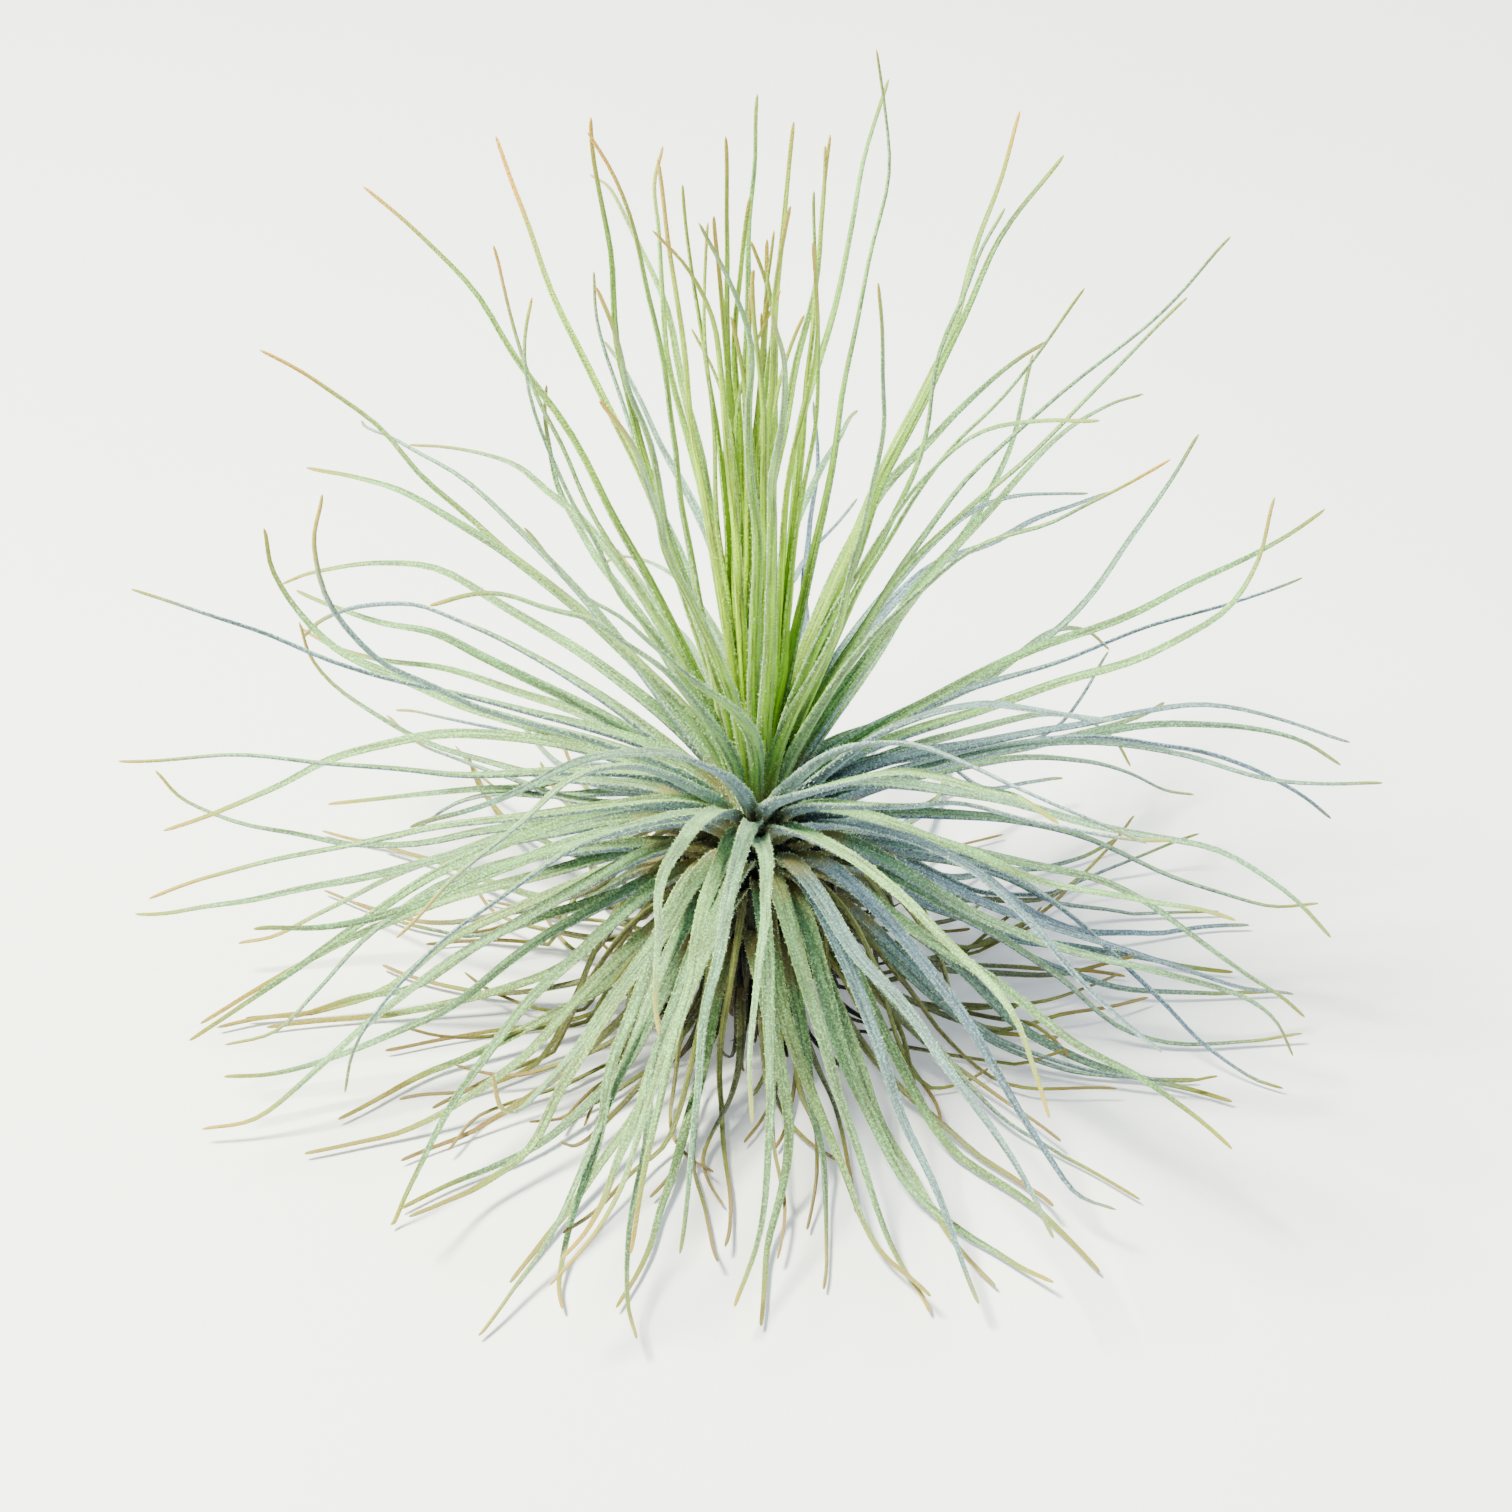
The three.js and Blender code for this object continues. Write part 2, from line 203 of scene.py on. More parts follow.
def wood_finish():
    """Fibrous brown wood, greyed and bleached in patches."""
    material, plan, surface = new_finish("Old stem wood")
    place = plan.add("ShaderNodeTexCoord").outputs["Object"]
    stretched = plan.add("ShaderNodeMapping", {"Vector": place, "Scale": (1.0, 1.0, FIBRE_STRETCH)})
    fibre = plan.noise(stretched.outputs[0], FIBRE_DENSITY, 5.0, 0.65)
    patch = plan.noise(place, BARK_PATCH_DENSITY, 3.0)
    brown = plan.mix(plan.ramp(fibre, *DARK_TO_BROWN), linear(BARK_DARK), linear(BARK_BROWN))
    aged = plan.mix(plan.ramp(patch, *PATCH_AGES), brown, linear(BARK_AGED))
    rough = plan.ramp(fibre, *FIBRE_DULLS)
    bump = plan.add("ShaderNodeBump", {
        "Height": fibre, "Strength": FIBRE_STANDS, "Distance": FIBRE_DEPTH * MM})
    plan.put(surface, {"Base Color": aged, "Roughness": rough, "Normal": bump.outputs[0]})
    return material


def stub_tree():
    """Old leaf bases in a spiral up the stem: each a thin, torn, pointed scale that hugs it."""
    tree, plan, given, keys = new_tree("Leaf stubs", {
        "Count": 1, "First height": 0.0, "Climb": 0.0, "Turn": 0.0, "Foot radius": 0.0,
        "Radius growth": 0.0, "Stub length": 0.0, "Stub width": 0.0, "Stub thickness": 0.0,
        "Lean": 0.0, "Seed": 1, "Wood": ""})
    number = plan.add("GeometryNodeInputIndex").outputs[0]
    angle = plan.times(number, given["Turn"])
    height = plan.times_plus(number, given["Climb"], given["First height"])
    radius = plan.times_plus(height, given["Radius growth"], given["Foot radius"])
    outward = plan.xyz(plan.math("COSINE", angle), plan.math("SINE", angle))
    lifted = plan.vector("ADD", plan.vector("SCALE", outward, radius), plan.xyz(z=height))
    spots = plan.add("GeometryNodePoints", {"Count": given["Count"], "Position": lifted})
    facing = plan.add("FunctionNodeAlignRotationToVector", {"Vector": outward}, axis="X")
    upright = plan.add("FunctionNodeAlignRotationToVector", {
        "Rotation": facing.outputs[0], "Vector": (0.0, 0.0, 1.0)}, axis="Z", pivot_axis="X")
    lean = plan.add("FunctionNodeRandomValue", {
        "Min": STUB_TILTS[0], "Max": STUB_TILTS[1], "Seed": given["Seed"]},
        data_type="FLOAT_VECTOR").outputs[0]
    tip_out = plan.xyz(y=given["Lean"])
    tilt = plan.add("FunctionNodeEulerToRotation", {0: plan.vector("ADD", lean, tip_out)})
    turned = plan.add("FunctionNodeRotateRotation", {
        0: upright.outputs[0], 1: tilt.outputs[0]}, rotation_space="LOCAL")
    cone = plan.add("GeometryNodeMeshCone", {
        "Vertices": 10, "Side Segments": 4, "Radius Bottom": 0.5, "Radius Top": 0.02, "Depth": 1.0})
    shape = plan.xyz(given["Stub thickness"], given["Stub width"], given["Stub length"])
    vary = plan.add("FunctionNodeRandomValue", {
        "Min": STUB_SIZES[0], "Max": STUB_SIZES[1],
        "Seed": plan.math("ADD", given["Seed"], SIZE_SEED_STEP)},
        data_type="FLOAT_VECTOR").outputs[0]
    stubs = plan.add("GeometryNodeInstanceOnPoints", {
        "Points": spots.outputs[0], "Instance": cone.outputs["Mesh"], "Rotation": turned.outputs[0],
        "Scale": plan.vector("MULTIPLY", shape, vary)})
    wood = plan.add("GeometryNodeSetMaterial", {
        "Geometry": given["Geometry"], "Material": given["Wood"]})
    joined = plan.add("GeometryNodeJoinGeometry", {"Geometry": stubs.outputs[0]})
    plan.put(joined, {0: wood.outputs[0]})
    finish_tree(plan, joined.outputs[0], given["Wood"])
    return tree, keys


tree, keys = stub_tree()
stem = grown("woody_stem", stem_mesh(), tree, keys, {
    "Count": 150, "First height": 3.2 * MM, "Climb": 0.16 * MM, "Turn": math.radians(GOLDEN_ANGLE),
    "Foot radius": 6.4 * MM, "Radius growth": 0.03, "Stub length": 6.0 * MM, "Stub width": 4.6 * MM,
    "Stub thickness": 0.9 * MM, "Lean": 0.12, "Seed": 3, "Wood": wood_finish()})
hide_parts("stem")
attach(stem, "root")

# The leaves' places: 204 thread-tipped leaves in six whorls, each a golden angle round from the
# last, from the upright heart at the top of the stem to the withered leaves near its foot. Each
# springs from a sheath that clasps the stem, arches over and hangs, and is held apart by the rest.
LEAF_LENGTH = 140.0
LEAF_WIDTH = 4.2
LEAF_THICKNESS = 1.3
TIP_WIDTH = 0.75
TIP_THICKNESS = 0.62
ROOT_NARROWING = 0.72
ROOT_SHARE = 0.1
STEM_WAIST_HEIGHT = 13.0
STEM_HEIGHT = 59.0
FRAME_RADII = (6.4, 7.8, 3.4)  # of the frame's stem at its base, waist and top
HEART_ROOT_RADIUS = 2.9
ROOT_OUT = 1.1  # how far a root lies outside the frame's stem
FIRST_AZIMUTH = 205.0
TUFTS_AROUND, TUFT_LEAN, TUFT_SHIFT = 7, 7.0, 90.0
STRAY = {"length": 0.08, "azimuth": 4, "tilt": 8, "droop": 30, "sweep": 32, "wave": 16, "curl": 55}
TAPER_MEAN, TAPER_SPREAD = 0.78, 0.2
HOOKED_SHARE, HOOK = 0.12, -80.0
BEND_SHARE, CURL_START, SWEEP_POWER, SIDEWAYS_WAVE = 0.2, 0.4, 1.4, 0.5
LANDING_STEEPEST, LANDING_SHALLOWEST, LANDING_HEIGHT = 150.0, 95.0, 28.0
STATIONS = np.array([0, 0.045, 0.105, 0.18, 0.28, 0.4, 0.53, 0.67, 0.8, 0.91, 1])
HALF_DEPTH = 0.6
FLOOR_CLEARANCE = 0.25
EASING_ROUNDS, EASING_SHARE, EASING_FURTHEST = 90, 0.5, 1.5
EASING_LOOK = 1.3 * LEAF_WIDTH
STIFF_UNTIL, FREE_FROM = 0.01, 0.16
PARALLEL, TOUCHING, TINY = 1e-6, 1e-4, 1e-12
SAME_WHORL, OTHER_WHORL = (0.15, 3), (0.5, 1)  # the clearance, and the first stretch that gives way
WHORL_FACTS = ("count", "heights", "root_tilt", "blade_tilt", "droop", "length", "width", "loose")
WHORLS = {name: dict(zip(WHORL_FACTS, facts)) for name, *facts in (
    ("heart", 24, (59.6, 59.6), (0, 5), (1, 6), (0, 2), (0.7, 1.0), (0.55, 0.8), 0.3),
    ("upper", 28, (57.6, 52.6), (9, 18), (10, 31), (5, 26), (1.0, 1.0), (0.75, 0.92), 0.7),
    ("middle", 50, (49.8, 42.6), (35, 42), (42, 74), (44, 42), (0.94, 0.86), (0.97, 1.0), 1.0),
    ("outer", 46, (40.0, 33.2), (46, 54), (82, 104), (42, 36), (0.86, 0.8), (1.0, 1.0), 1.15),
    ("lower", 34, (30.8, 24.4), (58, 66), (108, 126), (34, 20), (0.8, 0.68), (1.0, 0.9), 1.1),
    ("dry", 22, (22.2, 15.0), (72, 84), (126, 142), (0, 0), (0.66, 0.4), (0.62, 0.5), 1.3))}


def chances(drawn):
    """Repeatable random numbers from 0 to 1."""
    while True:
        drawn = drawn * 48271 % 2147483647
        yield drawn / 2147483647


chance = chances(7)


def wander():
    return next(chance) + next(chance) - 1


def between(pair, share):
    return pair[0] + (pair[1] - pair[0]) * share


def smooth(share):
    held = np.clip(share, 0, 1)
    return held * held * (3 - 2 * held)


def toward(tilt, azimuth):
    """A direction from its tilt off the vertical and its azimuth, in degrees."""
    t, a = np.radians(tilt), np.radians(azimuth)
    return np.stack([np.sin(t) * np.cos(a), np.sin(t) * np.sin(a), np.cos(t) + 0 * a], -1)


def frame_radius(height):
    return np.interp(height, (0, STEM_WAIST_HEIGHT, STEM_HEIGHT), FRAME_RADII)


def leaf_width(leaf, share):
    blade = between((leaf["width"], TIP_WIDTH), share ** leaf["taper"])
    return blade * between((ROOT_NARROWING, 1), smooth(share / ROOT_SHARE))


def leaf_thickness(share):
    return between((LEAF_THICKNESS, TIP_THICKNESS), share)


def grow_leaf(whorl_number, name, order, azimuth):
    """One leaf's facts and its middle line, before its neighbours push it aside."""
    whorl = WHORLS[name]
    loose, share = whorl["loose"], (order + 0.5) / whorl["count"]
    height = between(whorl["heights"], share)
    leaf = {"whorl": name, "height": height, "width": LEAF_WIDTH * between(whorl["width"], share)}
    full_length = LEAF_LENGTH * between(whorl["length"], share)
    leaf["length"] = full_length * (1 + STRAY["length"] * wander())
    leaf["azimuth"] = azimuth + STRAY["azimuth"] * wander()
    blade_tilt = between(whorl["blade_tilt"], share) + STRAY["tilt"] * loose * wander()
    droop = between(whorl["droop"], share) + STRAY["droop"] * loose * wander()
    sweep, wave, curl = (STRAY[key] * loose * wander() for key in ("sweep", "wave", "curl"))
    leaf["taper"] = TAPER_MEAN + TAPER_SPREAD * wander()
    hooked = HOOK if next(chance) < HOOKED_SHARE * loose else 0.0
    phase = math.radians(TUFTS_AROUND * leaf["azimuth"] + TUFT_SHIFT * whorl_number)
    tuft = TUFT_LEAN * loose * math.sin(phase)
    root_tilt = between(whorl["root_tilt"], share)
    leaf["root_radius"] = (HEART_ROOT_RADIUS * math.sqrt(share) if name == "heart"
                           else frame_radius(height) + ROOT_OUT)
    points = [toward(90, leaf["azimuth"]) * leaf["root_radius"] + [0, 0, height]]
    points[0][2] = height
    for before, after in zip(STATIONS, STATIONS[1:]):
        at = (before + after) / 2
        tip = max(0, at - CURL_START) / (1 - CURL_START)
        out = smooth(at / BEND_SHARE)
        ripple = wave * math.sin(2 * math.pi * at) * out
        free = (between((root_tilt, blade_tilt), out) + droop * at + (curl + hooked) * tip ** 2
                + ripple)
        steepest = between((LANDING_SHALLOWEST, LANDING_STEEPEST),
                           smooth(points[-1][2] / LANDING_HEIGHT))
        heading = (leaf["azimuth"] + tuft * out + sweep * at ** SWEEP_POWER
                   - ripple * SIDEWAYS_WAVE)
        way = toward(min(free, steepest), heading)
        points.append(points[-1] + way * leaf["length"] * (after - before))
    leaf["points"] = np.array(points)
    return leaf


def sized(vectors):
    """The lengths of vectors, kept as a last column."""
    return np.sqrt((vectors ** 2).sum(-1, keepdims=True))


def carry_frames(points, azimuth):
    """The directions along and across each leaf and up from its face, carried without twist."""
    along = np.concatenate([points[:, 1:2] - points[:, :1], points[:, 2:] - points[:, :-2],
                            points[:, -1:] - points[:, -2:-1]], 1)
    along /= sized(along)
    across, carried = np.empty_like(points), toward(90, azimuth + 90)
    for i in range(points.shape[1]):
        carried = carried - along[:, i] * (carried * along[:, i]).sum(-1, keepdims=True)
        carried = carried / sized(carried)
        across[:, i] = carried
    return along, across, np.cross(along, across)


def lay(points, steps, width, across):
    """Keeps the leaves' own lengths, their roots and their places above the surface."""
    for i in range(1, points.shape[1]):
        floor = (FLOOR_CLEARANCE + HALF_DEPTH * leaf_thickness(STATIONS[i])
                 + 0.5 * width[:, i] * np.abs(across[:, i, 2]))
        step = points[:, i] - points[:, i - 1]
        step *= steps[:, i - 1, None] / sized(step)
        points[:, i] = points[:, i - 1] + step
        low = points[:, i, 2] < floor
        flat = step[low] * [1, 1, 0]
        flat /= sized(flat)
        drop = floor[low] - points[low, i - 1, 2]
        reach = np.sqrt(np.maximum(0, steps[low, i - 1] ** 2 - drop ** 2))
        points[low, i] = points[low, i - 1] + flat * reach[:, None]
        points[low, i, 2] = floor[low]


def ease_apart(leaves):
    """Eases crossing leaves apart, a little each round, as the real ones push each other aside."""
    points = np.stack([leaf["points"] for leaf in leaves])
    azimuth = np.array([leaf["azimuth"] for leaf in leaves])
    width = np.array([leaf_width(leaf, STATIONS) for leaf in leaves])
    middles = (STATIONS[1:] + STATIONS[:-1]) / 2
    half_wide = np.array([leaf_width(leaf, middles) for leaf in leaves]).ravel() / 2
    half_deep = np.tile(leaf_thickness(middles) * HALF_DEPTH, len(leaves))
    steps = sized(points[:, 1:] - points[:, :-1])[..., 0]
    lay(points, steps, width, carry_frames(points, azimuth)[1])
    stretches = len(middles)
    owner = np.repeat(np.arange(len(leaves)), stretches)
    place = np.tile(np.arange(stretches), len(leaves))
    whorl = np.array([list(WHORLS).index(leaf["whorl"]) for leaf in leaves])[owner]
    same = whorl[:, None] == whorl[None, :]
    first = np.where(same, SAME_WHORL[1], OTHER_WHORL[1])
    may_touch = ((owner[:, None] < owner[None, :]) & (place[:, None] >= first)
                 & (place[None, :] >= first))
    far = steps.ravel()[:, None] + steps.ravel()[None, :] + EASING_LOOK
    far_squared = np.where(may_touch, far ** 2, -1.0)
    give = smooth((STATIONS - STIFF_UNTIL) / (FREE_FROM - STIFF_UNTIL))
    for _ in range(EASING_ROUNDS):
        _, across, up = carry_frames(points, azimuth)
        start, end = points[:, :-1].reshape(-1, 3), points[:, 1:].reshape(-1, 3)
        squared = (start ** 2).sum(1)
        apart = squared[:, None] + squared[None, :] - 2 * start @ start.T
        one, other = np.nonzero(apart <= far_squared)
        u, v, w = end[one] - start[one], end[other] - start[other], start[one] - start[other]
        a, b, c = (u * u).sum(1), (u * v).sum(1), (v * v).sum(1)
        d, e = (u * w).sum(1), (v * w).sum(1)
        area = a * c - b * b
        steady = area > PARALLEL * a * c
        s = np.where(steady, np.clip((b * e - c * d) / np.where(steady, area, 1), 0, 1), 0.5)
        t = np.clip((b * s + e) / c, 0, 1)
        s = np.clip((b * t - d) / a, 0, 1)
        gap = start[one] + u * s[:, None] - start[other] - v * t[:, None]
        distance = sized(gap)[:, 0]
        turned = np.cross(u, v)
        way = np.where(distance[:, None] > TOUCHING, gap / np.maximum(distance, TINY)[:, None],
                       turned / np.maximum(sized(turned), TINY))
        flat_across, flat_up = across[:, :-1].reshape(-1, 3), up[:, :-1].reshape(-1, 3)
        reach = sum(np.hypot((flat_across[i] * way).sum(1) * half_wide[i],
                             (flat_up[i] * way).sum(1) * half_deep[i]) for i in (one, other))
        clearance = np.where(same[one, other], SAME_WHORL[0], OTHER_WHORL[0])
        short = reach + clearance - distance
        hit = (short > 0) & (distance <= EASING_LOOK)
        one, other, s, t = one[hit], other[hit], s[hit, None], t[hit, None]
        shift = way[hit] * (short[hit] * EASING_SHARE)[:, None]
        pushes = np.zeros_like(points)
        for stretch, share, sign in ((one, s, 1), (other, t, -1)):
            leaf, i = owner[stretch], place[stretch]
            np.add.at(pushes, (leaf, i), sign * shift * (1 - share) * give[i, None])
            np.add.at(pushes, (leaf, i + 1), sign * shift * share * give[i + 1, None])
        size = sized(pushes)
        points += pushes / np.maximum(size, TINY) * np.minimum(size, EASING_FURTHEST)
        lay(points, steps, width, across)
    return points, *carry_frames(points, azimuth)[1:]


leaves = []
for whorl_number, name in enumerate(WHORLS):
    for order in range(WHORLS[name]["count"]):
        azimuth = FIRST_AZIMUTH + GOLDEN_ANGLE * len(leaves)
        leaves.append(grow_leaf(whorl_number, name, order, azimuth))
for leaf, *found in zip(leaves, *ease_apart(leaves)):
    leaf["points"], leaf["across"], leaf["up"] = found

# The blades: each leaf is one thick, narrow blade, keeled below and channelled above, with a few
# long ridges, that rolls up towards a thread-like tip. Its foot is a broad, thin sheath pressed
# round the stem, the younger sheaths under the older ones. The ridges and the taper are real form.
SHEATH_SHARES = (1.0, 0.62, 0.28)  # where the sheath's sections lie, as shares of its depth
SHEATH_INNER = 0.25  # how far the foot of a sheath lies outside the frame's stem
SHEATH_HALF_DEPTH, SHEATH_TIGHTEST = 0.32, 2.5
SHEATH_WIDENING, SHEATH_LEAST = 2.4, 0.2  # how fast a sheath's foot rounds out to its full width
FOOT_SHARE = -0.06  # what stands for the foot of the sheath in a leaf's share, 0 at its root
ROOT_BLEND = 0.45  # how far the root has narrowed from the sheath's width to the blade's
FULLER, FULLER_UNTIL = 1.06, 0.7  # a real blade is a little fuller than the frame's, up to here
ROLLED_BY = 0.5  # where along a leaf its channel has become a roll
SWUNG_FROM, SWUNG_OVER = 0.05, 0.5
TWISTED_FROM, TWISTED_OVER = 0.1, 0.8
HALF_DEPTHS, THINNED_BY = (0.62, 0.46), 0.6  # shares of a leaf's thickness, and where it is thin
TIP_END = 0.985  # where along a leaf its tip begins to close
CROOK, CROOK_START = 10.0, 0.7  # how far a drying tip may bend aside, in mm, and from where
# Painted shade: the leaves on this side are made greyer, bluer and darker through their tone, for
# the shade they lie in.
SHADED_SIDE = 10.0  # the side on which the leaves are greyer and bluer, as they are in the shade
TONE_SPREAD, TONE_MIDDLE, TONE_SHADE = 0.8, 0.08, 0.55
TONE_SEED, CROOK_SEED = 41, 83
STREAKS_APART = 0.1  # sets each leaf's streaks apart from the next one's
CLEARANCE = 1.6  # the least height of a blade's middle line above the surface it trails on
SIDE_SPREAD = 0.04  # gathers a section's points towards the middle of its faces, for the ridges
WOBBLE_GROWS, WOBBLES_APART = (0.08, 0.7), 3.0
FLAT_EDGE_POWER, TROUGH_POWER = 4.0, 2.6
SHEATH_OPENS, RIDGES_FADE = (FOOT_SHARE, -0.03), (0.85, 0.0)
STRIP_FILL, STRIP_HEIGHT, STRIP_FOOT = 0.94, 0.92, 0.07  # a leaf's own strip of the baking map
WELD = 0.003


def rails_mesh(name, members, sheath, channel, roll, twist, steered):
    """The middle lines of some leaves, from the foot of the sheath to the tip, as edges whose
    points carry what the blades' sections need. Each leaf gets its tone, random and lowered on the
    shaded side as painted shade, and a slight twist, its drying tip is bent aside, and the steered
    leaves are swung round the stem."""
    sheath_depth, sheath_width = sheath
    found, edges = {}, []
    tones, crooks = chances(TONE_SEED + len(members)), chances(CROOK_SEED + len(members))
    for number, leaf in enumerate(members):
        tone_and_shade, _, turned = [2 * next(tones) - 1 for _ in range(3)]  # the second is spare
        turned *= twist
        # Painted shade: a leaf's tone is random, then lowered on the shaded side.
        shaded = math.cos(math.radians(leaf["azimuth"] - SHADED_SIDE))
        tone_and_shade = max(-1.0, min(1.0, TONE_SPREAD * tone_and_shade + TONE_MIDDLE - TONE_SHADE * shaded))
        crook = [CROOK * (2 * next(crooks) - 1) ** 3 for _ in ("sideways", "up or down")]
        radial = toward(90, leaf["azimuth"])
        tangent = toward(90, leaf["azimuth"] + 90)
        rows = []
        for depth in SHEATH_SHARES:
            height = leaf["height"] - sheath_depth * depth
            inner = leaf["root_radius"] if leaf["whorl"] == "heart" else between(
                (frame_radius(height) + ROOT_OUT, frame_radius(height) + SHEATH_INNER), depth)
            rounded = smooth(SHEATH_WIDENING * (1 - depth) + SHEATH_LEAST)
            half = 0 if depth == 1 else sheath_width / 2 * rounded
            cup = half ** 2 / (2 * max(inner, SHEATH_TIGHTEST))
            rows.append((radial * inner + [0, 0, height], tangent, -radial, half,
                         SHEATH_HALF_DEPTH, cup, FOOT_SHARE * depth))
        for share in [*STATIONS[:-1], TIP_END, 1.0]:
            point, across, up = (
                np.array([np.interp(share, STATIONS, leaf[key][:, k]) for k in range(3)])
                for key in ("points", "across", "up"))
            bend = (max(0.0, share - CROOK_START) / (1 - CROOK_START)) ** 2
            point = point + (across * crook[0] + up * crook[1]) * bend
            swing = math.radians(
                steered.get(number, 0) * smooth((share - SWUNG_FROM) / SWUNG_OVER))
            swung = np.array([[math.cos(swing), math.sin(swing), 0],
                              [-math.sin(swing), math.cos(swing), 0], [0, 0, 1]])
            point, across, up = point @ swung, across @ swung, up @ swung
            half = (leaf_width(leaf, share) / 2 * (share < 1)
                    * between((FULLER, 1.0), smooth(share / FULLER_UNTIL)))
            if share == 0:
                half = between((sheath_width / 2, half), ROOT_BLEND)
            cup = half * between((channel, roll), smooth(share / ROLLED_BY))
            turn = math.radians(turned * smooth((share - TWISTED_FROM) / TWISTED_OVER))
            twisted = (across * math.cos(turn) + up * math.sin(turn),
                       up * math.cos(turn) - across * math.sin(turn))
            deep = leaf_thickness(share) * between(HALF_DEPTHS, smooth(share / THINNED_BY))
            rows.append((point, *twisted, half, deep, cup, share))
        first = len(found.get("share", ()))
        for i, (point, across, rise, half, deep, cup, share) in enumerate(rows):
            facts = {"position": point * MM, "across": across, "rise": rise,
                     "half_width": half * MM, "half_depth": deep * MM if half else 0.0,
                     "cup": cup * MM, "share": share, "tone_and_shade": tone_and_shade,
                     "over": (0, share * leaf["length"] * MM, number * STREAKS_APART),
                     "order": number / len(members)}
            for key, value in facts.items():
                found.setdefault(key, []).append(value)
            if i:
                edges.append((first + i - 1, first + i))
    mesh = bpy.data.meshes.new(name)
    mesh.from_pydata(np.array(found.pop("position")).tolist(), edges, [])
    for key, values in found.items():
        flat = np.array(values, np.float32)
        vector = flat.ndim == 2
        layer = mesh.attributes.new(key, "FLOAT_VECTOR" if vector else "FLOAT", "POINT")
        layer.data.foreach_set("vector" if vector else "value", flat.ravel())
    return mesh


def named(plan, name, kind="FLOAT"):
    node = plan.add("GeometryNodeInputNamedAttribute", {"Name": name}, data_type=kind)
    return node.outputs["Attribute"]


def stored(plan, geometry, name, value, kind="FLOAT", domain="POINT"):
    node = plan.add("GeometryNodeStoreNamedAttribute",
                    {"Geometry": geometry, "Name": name, "Value": value},
                    data_type=kind, domain=domain)
    return node.outputs[0]


